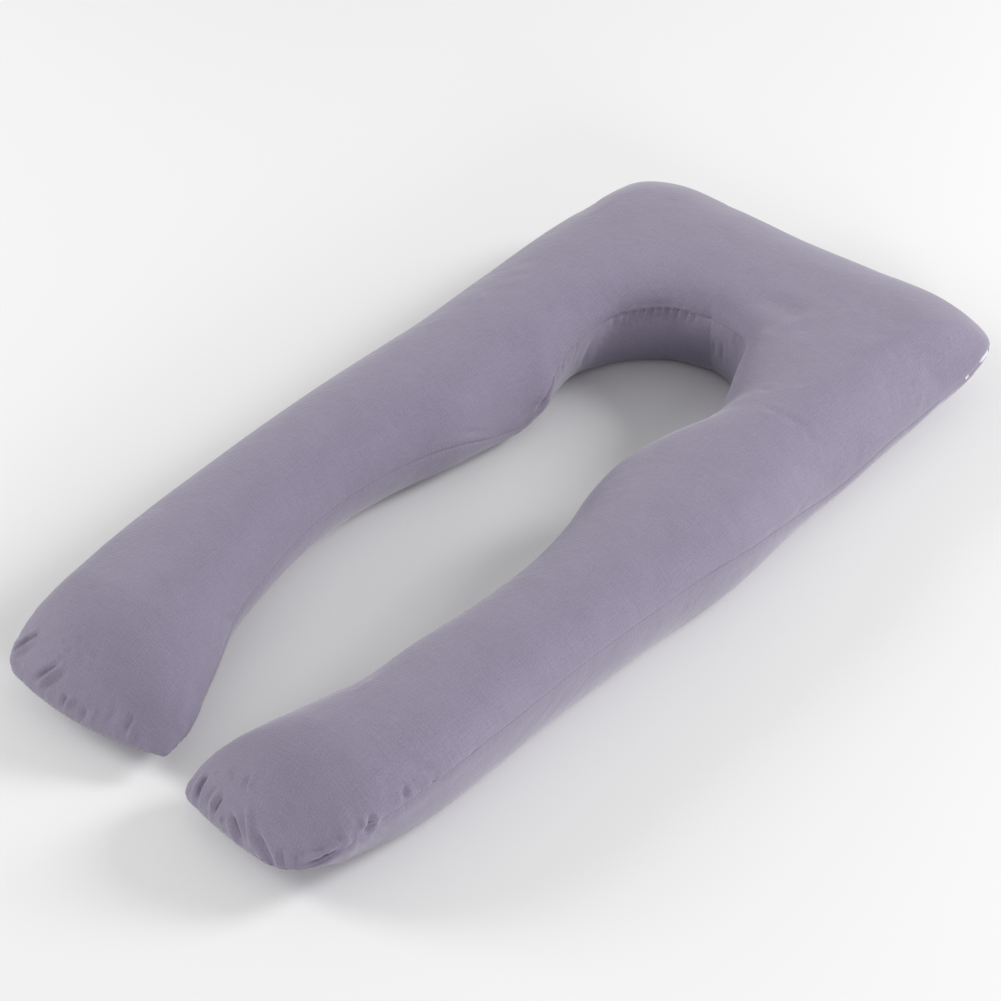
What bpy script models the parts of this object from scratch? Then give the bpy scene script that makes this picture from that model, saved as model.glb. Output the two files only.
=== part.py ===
"""A u-shaped body pillow: one long stuffed bolster bent into a U, in a plain cover of two sewn panels.

The pillow lies on its underside with its legs towards -Y and its head end towards +Y.
Each section of the table runs straight across the stuffing, from the seam on the inside of the U
to the seam on the outside. The solid is a loft through those sections.
"""

import math
from collections import namedtuple

import bmesh
import bpy
from mathutils import Vector

CM = 0.01
MM = 0.001

# Sections of one half, in centimetres, from the middle of the head end to the foot of a leg.
# inner and outer are the seam's places seen from above, and inner_seam and outer_seam its heights.
# crown is the height of the top. round is the exponent of the side's curve: 2 is an ellipse, and
# nearer 1 it is a sharper cushion edge. low is how far in from the seam the underside meets the
# surface it lies on. The right leg's edges lie outside these places by sway, the left leg's inside.
Section = namedtuple(
    "Section",
    "name inner_x inner_y outer_x outer_y crown inner_seam outer_seam inner_round outer_round"
    " inner_low outer_low inner_sway outer_sway",
)
SECTIONS = (
    Section("head_middle", 0.0, 43.2, 0.0, 68.6, 16.0, 11.2, 7.8, 2.6, 1.8, 4.2, 7.5, 0.0, 0.0),
    Section("head_quarter", 6.0, 41.4, 13.0, 69.2, 16.0, 11.2, 7.9, 2.6, 1.75, 4.2, 7.5, -0.3, 0.1),
    Section("head_bend", 10.0, 37.0, 24.0, 69.6, 16.0, 11.0, 8.0, 2.5, 1.65, 4.5, 8.0, -0.7, 0.2),
    Section("head_corner", 11.8, 32.5, 31.7, 65.5, 16.0, 10.6, 8.6, 2.2, 1.5, 5.5, 9.5, -0.3, 0.7),
    Section("crook", 12.6, 27.5, 32.2, 54.5, 16.0, 9.6, 8.4, 1.9, 1.5, 7.5, 9.0, 0.8, 0.0),
    Section("cheek", 12.0, 22.0, 32.3, 41.5, 16.0, 8.6, 8.3, 2.0, 1.7, 7.5, 6.8, 1.0, -0.1),
    Section("neck", 10.3, 15.5, 31.8, 27.5, 16.0, 7.7, 8.5, 2.1, 1.85, 7.0, 6.0, 0.4, 0.0),
    Section("shoulder", 10.1, 8.8, 31.8, 15.5, 16.0, 7.7, 8.8, 2.1, 1.95, 7.0, 5.5, -0.6, 0.7),
    Section("chest", 10.9, 2.0, 31.9, 5.0, 16.0, 7.9, 9.1, 2.05, 2.0, 7.0, 5.0, -0.5, 0.7),
    Section("waist", 12.9, -5.5, 31.5, -5.5, 16.0, 8.2, 9.4, 2.0, 2.0, 7.0, 4.8, -0.3, 0.3),
    Section("belly", 14.2, -15.0, 31.1, -16.5, 15.9, 8.4, 9.8, 2.0, 1.95, 7.0, 4.6, -0.2, 0.1),
    Section("hip", 13.9, -24.5, 30.6, -27.0, 15.9, 8.6, 10.1, 2.0, 1.95, 7.0, 4.6, 0.0, 0.1),
    Section("thigh", 12.4, -33.7, 30.3, -37.0, 15.9, 8.3, 10.3, 1.95, 1.95, 7.0, 4.6, 0.2, 0.3),
    Section("knee", 10.3, -43.2, 29.9, -46.5, 15.9, 7.8, 10.4, 1.85, 1.95, 6.5, 4.8, 0.7, 0.5),
    Section("shin", 6.4, -52.5, 29.2, -54.5, 15.8, 6.9, 9.2, 1.65, 1.85, 6.0, 5.5, 1.4, 0.1),
    Section("ankle", 3.5, -60.0, 28.4, -62.0, 15.6, 5.4, 7.4, 1.5, 1.6, 5.5, 6.8, 0.9, -0.5),
    Section("toe", 2.8, -65.0, 27.6, -67.6, 15.4, 4.4, 6.4, 1.5, 1.5, 5.5, 7.5, 0.5, -0.9),
)
# How far each foot's corners lie beyond the table, their radii seen from above, and how far the
# middle of the foot's end bulges beyond the corners.
Foot = namedtuple("Foot", "inner_beyond outer_beyond inner_corner outer_corner bow")
FEET = {
    1: Foot(1.7 * CM, 1.2 * CM, 2.2 * CM, 7.5 * CM, 1.2 * CM),
    -1: Foot(-1.4 * CM, -1.5 * CM, 1.0 * CM, 4.0 * CM, 2.2 * CM),
}
BEYOND_LENGTH = 30 * CM  # the stretch above the foot over which that comes in
FOOT_ROUND = 1.6  # exponent of the curve over the foot's end
FOOT_LOW = 6.0 * CM  # how far in from the foot's end the underside meets the surface

TOP_REACH = 12.0 * CM  # how far in from the seam or the foot's end the top is level
TOP_LEVEL = 0.08  # the least share of the half width that is level across the top
STATION_STEP = 2.5 * CM
CURVE_ANGLES = (4, 13, 25, 39, 55, 72, 90)  # degrees round the rim, from the seam to the level part
SEAM_SINK = 3.0 * MM  # how far the stitches draw the seam in

ZIP_FROM = "head_bend"
ZIP_TO = "crook"
ZIP_HEIGHT = 4.6 * MM
ZIP_THICKNESS = 2.0 * MM
ZIP_SINK = 1.5 * MM  # the middle of the chain lies this far in from the cover's outline
GAP = 0.3 * MM

LAVENDER_GREY = (0.30, 0.26, 0.36, 1.0)
WHITE_NYLON = (0.85, 0.84, 0.88, 1.0)


def clear_scene():
    for obj in list(bpy.data.objects):
        bpy.data.objects.remove(obj, do_unlink=True)


def make_collection(name):
    collection = bpy.data.collections.new(name)
    bpy.context.scene.collection.children.link(collection)
    return collection


def make_material(name, colour, roughness):
    material = bpy.data.materials.new(name)
    material.use_nodes = True
    shader = material.node_tree.nodes["Principled BSDF"]
    shader.inputs["Base Color"].default_value = colour
    shader.inputs["Roughness"].default_value = roughness
    shader.inputs["Metallic"].default_value = 0.0
    return material


def smooth_through(places, values, place):
    """The value at a place on a smooth curve through values given at rising places."""
    last = len(places) - 1
    k = max(i for i in range(last) if places[i] <= place or i == 0)
    slopes = []
    for i in (k, k + 1):
        before, after = max(i - 1, 0), min(i + 1, last)
        slopes.append((values[after] - values[before]) / (places[after] - places[before]))
    span = places[k + 1] - places[k]
    t = (place - places[k]) / span
    return (
        (2 * t**3 - 3 * t**2 + 1) * values[k]
        + (t**3 - 2 * t**2 + t) * span * slopes[0]
        + (3 * t**2 - 2 * t**3) * values[k + 1]
        + (t**3 - t**2) * span * slopes[1]
    )


def section_places():
    """How far each section lies along the middle of the stuffing from the head end's middle."""
    places = [0.0]
    for before, after in zip(SECTIONS, SECTIONS[1:]):
        step_x = (after.inner_x + after.outer_x - before.inner_x - before.outer_x) / 2
        step_y = (after.inner_y + after.outer_y - before.inner_y - before.outer_y) / 2
        places.append(places[-1] + math.hypot(step_x, step_y) * CM)
    return places


PLACES = section_places()
LEG_END = PLACES[-1]


def column(name, place):
    """The named column of the table at a place along the middle of the stuffing."""
    return smooth_through(PLACES, [getattr(section, name) for section in SECTIONS], place)


def ease(share):
    """Rises from 0 to 1 with no slope at either end."""
    share = min(max(share, 0.0), 1.0)
    return share * share * (3 - 2 * share)


def corner_inset(radius, to_end):
    """How far a rounded corner has left its side at a distance from the foot's end."""
    if to_end >= radius:
        return 0.0
    return radius - math.sqrt(radius**2 - (radius - to_end) ** 2)


def seam_points(place, side):
    """The section's seam points (inner, outer) on the right leg for side 1, on the left for -1."""
    foot = FEET[side]
    to_end = LEG_END - place
    inner = Vector((column("inner_x", place), column("inner_y", place), column("inner_seam", place)))
    outer = Vector((column("outer_x", place), column("outer_y", place), column("outer_seam", place)))
    inner.x += side * column("inner_sway", place)
    outer.x += side * column("outer_sway", place)
    inner, outer = inner * CM, outer * CM
    inner.x += corner_inset(foot.inner_corner, to_end)
    outer.x -= corner_inset(foot.outer_corner, to_end)
    for point, beyond in ((inner, foot.inner_beyond), (outer, foot.outer_beyond)):
        point.y -= beyond * ease(1 - to_end / BEYOND_LENGTH)
        point.x *= side
    return inner, outer


def rounded_rise(inward, reach, exponent):
    """The share of the full height at a distance in from the seam, where the curve is reach wide."""
    if inward >= reach:
        return 1.0
    return (1 - (1 - inward / reach) ** exponent) ** (1 / exponent)


def sheet_row(place, side, top):
    """Points of the top or the bottom panel across one section, between the seams."""
    inner, outer = seam_points(place, side)
    middle = (inner + outer) / 2
    half_width = (outer - inner).length / 2
    goal = column("crown", place) * CM if top else 0.0
    end_reach = TOP_REACH if top else FOOT_LOW
    to_end = LEG_END - place
    end_share = rounded_rise(to_end, end_reach, FOOT_ROUND)
    near_end = 1 - ease(to_end / end_reach)
    bow = FEET[side].bow * (1 - ease(to_end / TOP_REACH))
    halves = []
    for seam, edge in ((inner, "inner"), (outer, "outer")):
        exponent = column(edge + "_round", place)
        reach = TOP_REACH if top else column(edge + "_low", place) * CM
        reach = min(reach, (1 - TOP_LEVEL) * half_width)
        half = []
        for angle in CURVE_ANGLES:
            turn = math.radians(angle)
            inward = reach * (1 - math.cos(turn) ** (2 / exponent))
            to_middle = inward / half_width
            point = seam.lerp(middle, to_middle)
            point.y -= bow * (1 - (1 - to_middle) ** 2)
            rest = seam.z + (point.z - seam.z) * near_end
            point.z = rest + (goal - rest) * math.sin(turn) ** (2 / exponent) * end_share
            half.append(point)
        halves.append(half)
    centre = middle.copy()
    centre.y -= bow
    centre.z += (goal - middle.z) * end_share
    return halves[0] + [centre] + halves[1][::-1]


def sunk_seam(point, other):
    """The seam's stitch line, drawn in from the outline towards the other side of the stuffing."""
    inward = other - point
    inward.z = 0.0
    return point + inward.normalized() * SEAM_SINK


def end_row(side):
    """The stitch line along the foot's end: the two seam points and the points between them."""
    inner, outer = seam_points(LEG_END, side)
    row = sheet_row(LEG_END, side, True)
    for point in row:
        point.y += SEAM_SINK
    return sunk_seam(inner, outer), row, sunk_seam(outer, inner)


def station_places():
    """Places of the loft's sections: even along the leg, then closing up on the foot's end."""
    straight = LEG_END - TOP_REACH
    count = round(straight / STATION_STEP)
    places = [straight * i / count for i in range(count)]
    for angle in reversed(CURVE_ANGLES):
        places.append(LEG_END - TOP_REACH * (1 - math.cos(math.radians(angle))))
    return places


def build_pillow(collection, material):
    """The stuffed pillow: two panels that share their seam, lofted from foot to foot."""
    mesh = bmesh.new()
    half = station_places()
    stations = [(place, -1) for place in reversed(half[1:])] + [(place, 1) for place in half]

    def add(points):
        return [mesh.verts.new(point) for point in points]

    def ring(place, side):
        inner, outer = seam_points(place, side)
        top, bottom = add(sheet_row(place, side, True)), add(sheet_row(place, side, False))
        return top, bottom, add((sunk_seam(inner, outer), sunk_seam(outer, inner)))

    def end_ring(side):
        inner, row, outer = end_row(side)
        shared = add(row)
        return shared, shared, add((inner, outer))

    rings = [end_ring(-1)] + [ring(place, side) for place, side in stations] + [end_ring(1)]
    for before, after in zip(rings, rings[1:]):
        for panel in (0, 1):
            first = [before[2][0]] + before[panel] + [before[2][1]]
            second = [after[2][0]] + after[panel] + [after[2][1]]
            for k in range(len(first) - 1):
                mesh.faces.new((first[k], second[k], second[k + 1], first[k + 1]))
    bmesh.ops.recalc_face_normals(mesh, faces=mesh.faces)
    return finish_object("pillow", mesh, collection, material)


def finish_object(name, mesh, collection, material):
    data = bpy.data.meshes.new(name)
    mesh.to_mesh(data)
    mesh.free()
    data.materials.append(material)
    data.shade_smooth()
    obj = bpy.data.objects.new(name, data)
    collection.objects.link(obj)
    return obj


def zip_route():
    """Places of the sections that the zip passes, round the right corner of the head end."""
    names = [section.name for section in SECTIONS]
    first, last = PLACES[names.index(ZIP_FROM)], PLACES[names.index(ZIP_TO)]
    return [place for place in station_places() if first <= place <= last]


def zip_curve(name, collection, grown):
    """The zip's chain as a strip that stands on edge in the seam, grown all round."""
    data = bpy.data.curves.new(name, "CURVE")
    data.dimensions = "3D"
    data.twist_mode = "Z_UP"
    data.extrude = (ZIP_HEIGHT - ZIP_THICKNESS) / 2
    data.bevel_depth = ZIP_THICKNESS / 2 + grown
    data.bevel_resolution = 1
    data.use_fill_caps = True
    route = []
    for place in zip_route():
        inner, outer = seam_points(place, 1)
        inward = inner - outer
        inward.z = 0.0
        route.append(outer + inward.normalized() * ZIP_SINK)
    overrun = (route[0] - route[1]).normalized() * grown
    route[0] += overrun
    route[-1] += (route[-1] - route[-2]).normalized() * grown
    spline = data.splines.new("POLY")
    spline.points.add(len(route) - 1)
    for spline_point, point in zip(spline.points, route):
        spline_point.co = (*point, 1.0)
    obj = bpy.data.objects.new(name, data)
    collection.objects.link(obj)
    return obj


def as_mesh(curve):
    """The curve as a closed mesh with its caps welded on."""
    name = curve.name
    collection = curve.users_collection[0]
    graph = bpy.context.evaluated_depsgraph_get()
    data = bpy.data.meshes.new_from_object(curve.evaluated_get(graph))
    place = curve.matrix_world.copy()
    bpy.data.objects.remove(curve, do_unlink=True)
    mesh = bmesh.new()
    mesh.from_mesh(data)
    bmesh.ops.remove_doubles(mesh, verts=mesh.verts, dist=0.01 * MM)
    bmesh.ops.recalc_face_normals(mesh, faces=mesh.faces)
    mesh.to_mesh(data)
    mesh.free()
    obj = bpy.data.objects.new(name, data)
    obj.matrix_world = place
    collection.objects.link(obj)
    return obj


def cut(body, cutter):
    """Cuts the cutter's shape out of the body."""
    cutter.hide_render = True
    cutter.display_type = "WIRE"
    modifier = body.modifiers.new("cut_" + cutter.name, "BOOLEAN")
    modifier.operation = "DIFFERENCE"
    modifier.object = cutter
    modifier.solver = "EXACT"


def recentre(objects, body):
    """Moves all the meshes so that the origin is below the middle of the body, where it rests."""
    xs = [vertex.co.x for vertex in body.data.vertices]
    ys = [vertex.co.y for vertex in body.data.vertices]
    middle = Vector(((min(xs) + max(xs)) / 2, (min(ys) + max(ys)) / 2, 0.0))
    for obj in objects:
        for vertex in obj.data.vertices:
            vertex.co -= middle


def main():
    clear_scene()
    pillow_parts = make_collection("pregnancy_pillow")
    cutters = make_collection("cutters")
    cover = make_material("cover", LAVENDER_GREY, 0.9)
    nylon = make_material("zip_nylon", WHITE_NYLON, 0.5)

    pillow = build_pillow(pillow_parts, cover)
    chain = as_mesh(zip_curve("zip_chain", pillow_parts, 0.0))
    chain.data.materials.append(nylon)
    slot = as_mesh(zip_curve("zip_slot", cutters, GAP))
    recentre((pillow, chain, slot), pillow)
    cut(pillow, slot)


main()
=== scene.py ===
"""A u-shaped body pillow: its plain cotton cover over loose filling, the seam round it and the zip.

The cover is a grid. Stations run along the stuffing, from the left foot round the head end to the
right foot, and each station is a ring: across the top panel from the inner seam to the outer seam,
and back across the bottom panel. Everything is in metres unless a name says otherwise.
"""

import logging
import math
from dataclasses import dataclass
from enum import Enum

import bpy
import numpy as np
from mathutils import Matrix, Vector
from mathutils.kdtree import KDTree


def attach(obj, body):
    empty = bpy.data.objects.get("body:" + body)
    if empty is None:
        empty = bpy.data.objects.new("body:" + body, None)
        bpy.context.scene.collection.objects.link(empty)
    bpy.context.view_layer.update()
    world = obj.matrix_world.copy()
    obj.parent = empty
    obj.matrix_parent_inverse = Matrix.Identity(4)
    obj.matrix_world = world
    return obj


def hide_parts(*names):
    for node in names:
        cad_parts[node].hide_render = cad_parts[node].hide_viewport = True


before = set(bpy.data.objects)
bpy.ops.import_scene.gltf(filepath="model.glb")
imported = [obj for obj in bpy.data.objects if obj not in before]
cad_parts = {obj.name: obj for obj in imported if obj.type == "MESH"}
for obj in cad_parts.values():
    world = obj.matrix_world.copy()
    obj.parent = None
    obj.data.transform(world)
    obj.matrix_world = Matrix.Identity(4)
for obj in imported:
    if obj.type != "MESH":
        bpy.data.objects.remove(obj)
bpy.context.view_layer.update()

LOG = logging.getLogger("pillow")
CM = 0.01
MM = 0.001
SPACINGS = ((0.0, 3.7), (22.0, 4.0), (32.0, 5.0), (60.0, 7.0), (112.0, 7.0), (128.0, 3.6))
WEAVE_MAP = "weave"
STATION_STEPS = 2000  # points that the spacing of the stations is worked out at
PANEL_GAP = 3.0  # from one panel to the other on the flat cloth
FOLD_PIECES = 10  # straight pieces that a fold's line is made of
FOLD_REACH = 4.0  # how many of its half widths a fold is worked out over
FOLD_SWELL = 0.3  # height of the swell beside a fold, as a share of its depth
FOLD_SWELL_AT = 2.0  # how many half widths from the fold's line the swell lies
FOLD_FADE = 2.6  # how steeply a fold fades at its ends
GATHERED_BLEND = 3.0  # centimetres over which a gathered stretch of the seam comes in
SLACK_BLEND = 6.0  # centimetres over which the slack stretch of the seam comes in


class Leg(Enum):
    """A half of the pillow, with the sign of its x."""

    LEFT = -1
    RIGHT = 1


class Panel(Enum):
    """One of the two panels that the cover is sewn from."""

    TOP = "top"
    BOTTOM = "bottom"


class Edge(Enum):
    """The side of the U that a stretch of the seam runs on."""

    INNER = "inner"
    OUTER = "outer"


LEFT, RIGHT = Leg.LEFT, Leg.RIGHT
TOP, BOTTOM = Panel.TOP, Panel.BOTTOM
INNER, OUTER = Edge.INNER, Edge.OUTER


@dataclass(frozen=True)
class Section:
    """A section straight across the stuffing, in centimetres, from the inner to the outer seam.

    Attributes:
        name: What it crosses.
        inner_x: How far the inner seam lies from the middle of the U.
        inner_y: How far up towards the head end it lies.
        outer_x: How far the outer seam lies from the middle of the U.
        outer_y: How far up towards the head end it lies.
        crown: Height of the top.
        inner_seam: Height of the inner seam.
        outer_seam: Height of the outer seam.
        inner_round: Exponent of the inner side's curve.
        outer_round: Exponent of the outer side's curve.
        inner_low: How far in from the inner seam the underside meets what it lies on.
        outer_low: The same from the outer seam.
        inner_sway: How far the right leg's inner edge lies outside its place, and the left leg's inside.
        outer_sway: The same for the outer edge.
    """

    name: str
    inner_x: float
    inner_y: float
    outer_x: float
    outer_y: float
    crown: float
    inner_seam: float
    outer_seam: float
    inner_round: float
    outer_round: float
    inner_low: float
    outer_low: float
    inner_sway: float
    outer_sway: float


SECTIONS = (
    Section("head_middle", 0.0, 43.2, 0.0, 68.6, 16.0, 11.2, 7.8, 2.6, 1.8, 4.2, 7.5, 0.0, 0.0),
    Section("head_quarter", 6.0, 41.4, 13.0, 69.2, 16.0, 11.2, 7.9, 2.6, 1.75, 4.2, 7.5, -0.3, 0.1),
    Section("head_bend", 10.0, 37.0, 24.0, 69.6, 16.0, 11.0, 8.0, 2.5, 1.65, 4.5, 8.0, -0.7, 0.2),
    Section("head_corner", 11.8, 32.5, 31.7, 65.5, 16.0, 10.6, 8.6, 2.2, 1.5, 5.5, 9.5, -0.3, 0.7),
    Section("crook", 12.6, 27.5, 32.2, 54.5, 16.0, 9.6, 8.4, 1.9, 1.5, 7.5, 9.0, 0.8, 0.0),
    Section("cheek", 12.0, 22.0, 32.3, 41.5, 16.0, 8.6, 8.3, 2.0, 1.7, 7.5, 6.8, 1.0, -0.1),
    Section("neck", 10.3, 15.5, 31.8, 27.5, 16.0, 7.7, 8.5, 2.1, 1.85, 7.0, 6.0, 0.4, 0.0),
    Section("shoulder", 10.1, 8.8, 31.8, 15.5, 16.0, 7.7, 8.8, 2.1, 1.95, 7.0, 5.5, -0.6, 0.7),
    Section("chest", 10.9, 2.0, 31.9, 5.0, 16.0, 7.9, 9.1, 2.05, 2.0, 7.0, 5.0, -0.5, 0.7),
    Section("waist", 12.9, -5.5, 31.5, -5.5, 16.0, 8.2, 9.4, 2.0, 2.0, 7.0, 4.8, -0.3, 0.3),
    Section("belly", 14.2, -15.0, 31.1, -16.5, 15.9, 8.4, 9.8, 2.0, 1.95, 7.0, 4.6, -0.2, 0.1),
    Section("hip", 13.9, -24.5, 30.6, -27.0, 15.9, 8.6, 10.1, 2.0, 1.95, 7.0, 4.6, 0.0, 0.1),
    Section("thigh", 12.4, -33.7, 30.3, -37.0, 15.9, 8.3, 10.3, 1.95, 1.95, 7.0, 4.6, 0.2, 0.3),
    Section("knee", 10.3, -43.2, 29.9, -46.5, 15.9, 7.8, 10.4, 1.85, 1.95, 6.5, 4.8, 0.7, 0.5),
    Section("shin", 6.4, -52.5, 29.2, -54.5, 15.8, 6.9, 9.2, 1.65, 1.85, 6.0, 5.5, 1.4, 0.1),
    Section("ankle", 3.5, -60.0, 28.4, -62.0, 15.6, 5.4, 7.4, 1.5, 1.6, 5.5, 6.8, 0.9, -0.5),
    Section("toe", 2.8, -65.0, 27.6, -67.6, 15.4, 4.4, 6.4, 1.5, 1.5, 5.5, 7.5, 0.5, -0.9),
)


@dataclass(frozen=True)
class Foot:
    """How a leg's end differs from the table, in metres.

    Attributes:
        inner_beyond: How far the inner corner reaches beyond the last section.
        outer_beyond: The same for the outer corner.
        inner_corner: The inner corner's radius.
        outer_corner: The outer corner's radius.
        bow: How far the end bulges between them.
    """

    inner_beyond: float
    outer_beyond: float
    inner_corner: float
    outer_corner: float
    bow: float


FEET = {
    RIGHT: Foot(1.4 * CM, 1.0 * CM, 2.2 * CM, 7.4 * CM, 0.3 * CM),
    LEFT: Foot(-1.9 * CM, -2.7 * CM, 0.9 * CM, 3.0 * CM, 1.5 * CM),
}


@dataclass(frozen=True)
class Shift:
    """A stretch where one leg's filling lies differently from the table.

    Attributes:
        leg: The half of the pillow.
        edge: The side of the U.
        place_cm: The stretch's middle, along the middle of the stuffing from the head end.
        width_cm: How far from there the shift fades out.
        outward_mm: How far the outline moves out, below 0 for in.
        upward_mm: How far the seam moves up the side.
        low_mm: How much further in the underside meets what it lies on.
    """

    leg: Leg
    edge: Edge
    place_cm: float
    width_cm: float
    outward_mm: float
    upward_mm: float
    low_mm: float


SHIFTS = (
    Shift(LEFT, INNER, 22.0, 9.0, 0.0, -6.0, 0.0),
    Shift(LEFT, INNER, 32.0, 6.0, -3.0, 0.0, 6.0),
    Shift(LEFT, INNER, 45.5, 4.0, 5.5, 0.0, -3.0),
    Shift(LEFT, INNER, 51.0, 9.0, -7.0, -32.0, 4.0),
    Shift(LEFT, INNER, 56.0, 7.0, -2.0, -11.0, 14.0),
    Shift(LEFT, INNER, 61.0, 4.0, 0.0, -4.0, 0.0),
    Shift(LEFT, INNER, 64.0, 6.0, 0.0, -9.0, 7.0),
    Shift(LEFT, INNER, 122.0, 6.0, 0.0, 0.0, 8.0),
    Shift(LEFT, INNER, 127.5, 4.0, -2.5, 0.0, 0.0),
    Shift(LEFT, INNER, 136.0, 5.0, 4.0, 0.0, 0.0),
    Shift(LEFT, INNER, 141.0, 6.0, 0.0, -13.0, 0.0),
    Shift(LEFT, OUTER, 15.0, 5.0, -4.0, 0.0, 0.0),
    Shift(LEFT, OUTER, 25.0, 6.0, -9.0, -3.0, 0.0),
    Shift(LEFT, OUTER, 135.5, 7.5, 10.5, 0.0, 0.0),
    Shift(LEFT, OUTER, 141.0, 6.0, 0.0, -24.0, 0.0),
    Shift(RIGHT, INNER, 10.0, 8.0, 0.0, 8.0, -6.0),
    Shift(RIGHT, INNER, 14.0, 4.0, -9.5, 0.0, -9.5),
    Shift(RIGHT, INNER, 30.0, 4.0, 3.0, 0.0, 0.0),
    Shift(RIGHT, INNER, 46.0, 5.0, -4.0, 0.0, 0.0),
    Shift(RIGHT, INNER, 118.0, 5.0, -6.0, 0.0, 0.0),
    Shift(RIGHT, INNER, 134.0, 4.5, 8.5, 0.0, 0.0),
    Shift(RIGHT, INNER, 141.0, 6.0, 0.0, -13.0, 0.0),
    Shift(RIGHT, OUTER, 21.0, 4.0, 6.0, 0.0, 0.0),
    Shift(RIGHT, OUTER, 24.0, 6.0, -3.0, 0.0, 8.0),
    Shift(RIGHT, OUTER, 24.4, 2.4, 0.0, 5.5, 0.0),
    Shift(RIGHT, OUTER, 28.5, 2.5, 0.0, -5.0, 0.0),
    Shift(RIGHT, OUTER, 33.0, 6.0, 0.0, -13.0, 0.0),
    Shift(RIGHT, OUTER, 35.0, 7.0, 0.0, -10.0, 0.0),
    Shift(RIGHT, OUTER, 37.0, 14.0, -3.0, 0.0, 13.0),
    Shift(RIGHT, OUTER, 49.0, 9.0, 0.0, -31.0, 0.0),
    Shift(RIGHT, OUTER, 66.0, 7.0, 3.5, 0.0, -3.0),
    Shift(RIGHT, OUTER, 72.0, 9.0, 0.0, 10.0, 0.0),
    Shift(RIGHT, OUTER, 88.0, 12.0, 0.0, 7.0, 0.0),
    Shift(RIGHT, OUTER, 133.0, 5.0, -3.0, 5.0, 0.0),
    Shift(RIGHT, OUTER, 141.0, 6.0, 0.0, -24.0, 0.0),
)


def ease(share: np.ndarray) -> np.ndarray:
    """Rises from 0 to 1 with no slope at either end."""
    share = np.clip(share, 0.0, 1.0)
    return share * share * (3 - 2 * share)


def lengths_along(points: np.ndarray) -> np.ndarray:
    """The distance along a line of points at each of them, from 0."""
    steps = np.linalg.norm(np.diff(points, axis=0), axis=1)
    return np.concatenate(([0.0], np.cumsum(steps)))


def unit(vectors: np.ndarray) -> np.ndarray:
    """The vectors made one long."""
    return vectors / np.maximum(np.linalg.norm(vectors, axis=-1, keepdims=True), 1e-9)


def between(places: np.ndarray, start: float, stop: float, blend: float) -> np.ndarray:
    """1 from start to stop and 0 beyond them, with a soft step of the blend's length at each."""
    return ease((places - start) / blend + 0.5) * ease((stop - places) / blend + 0.5)


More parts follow.
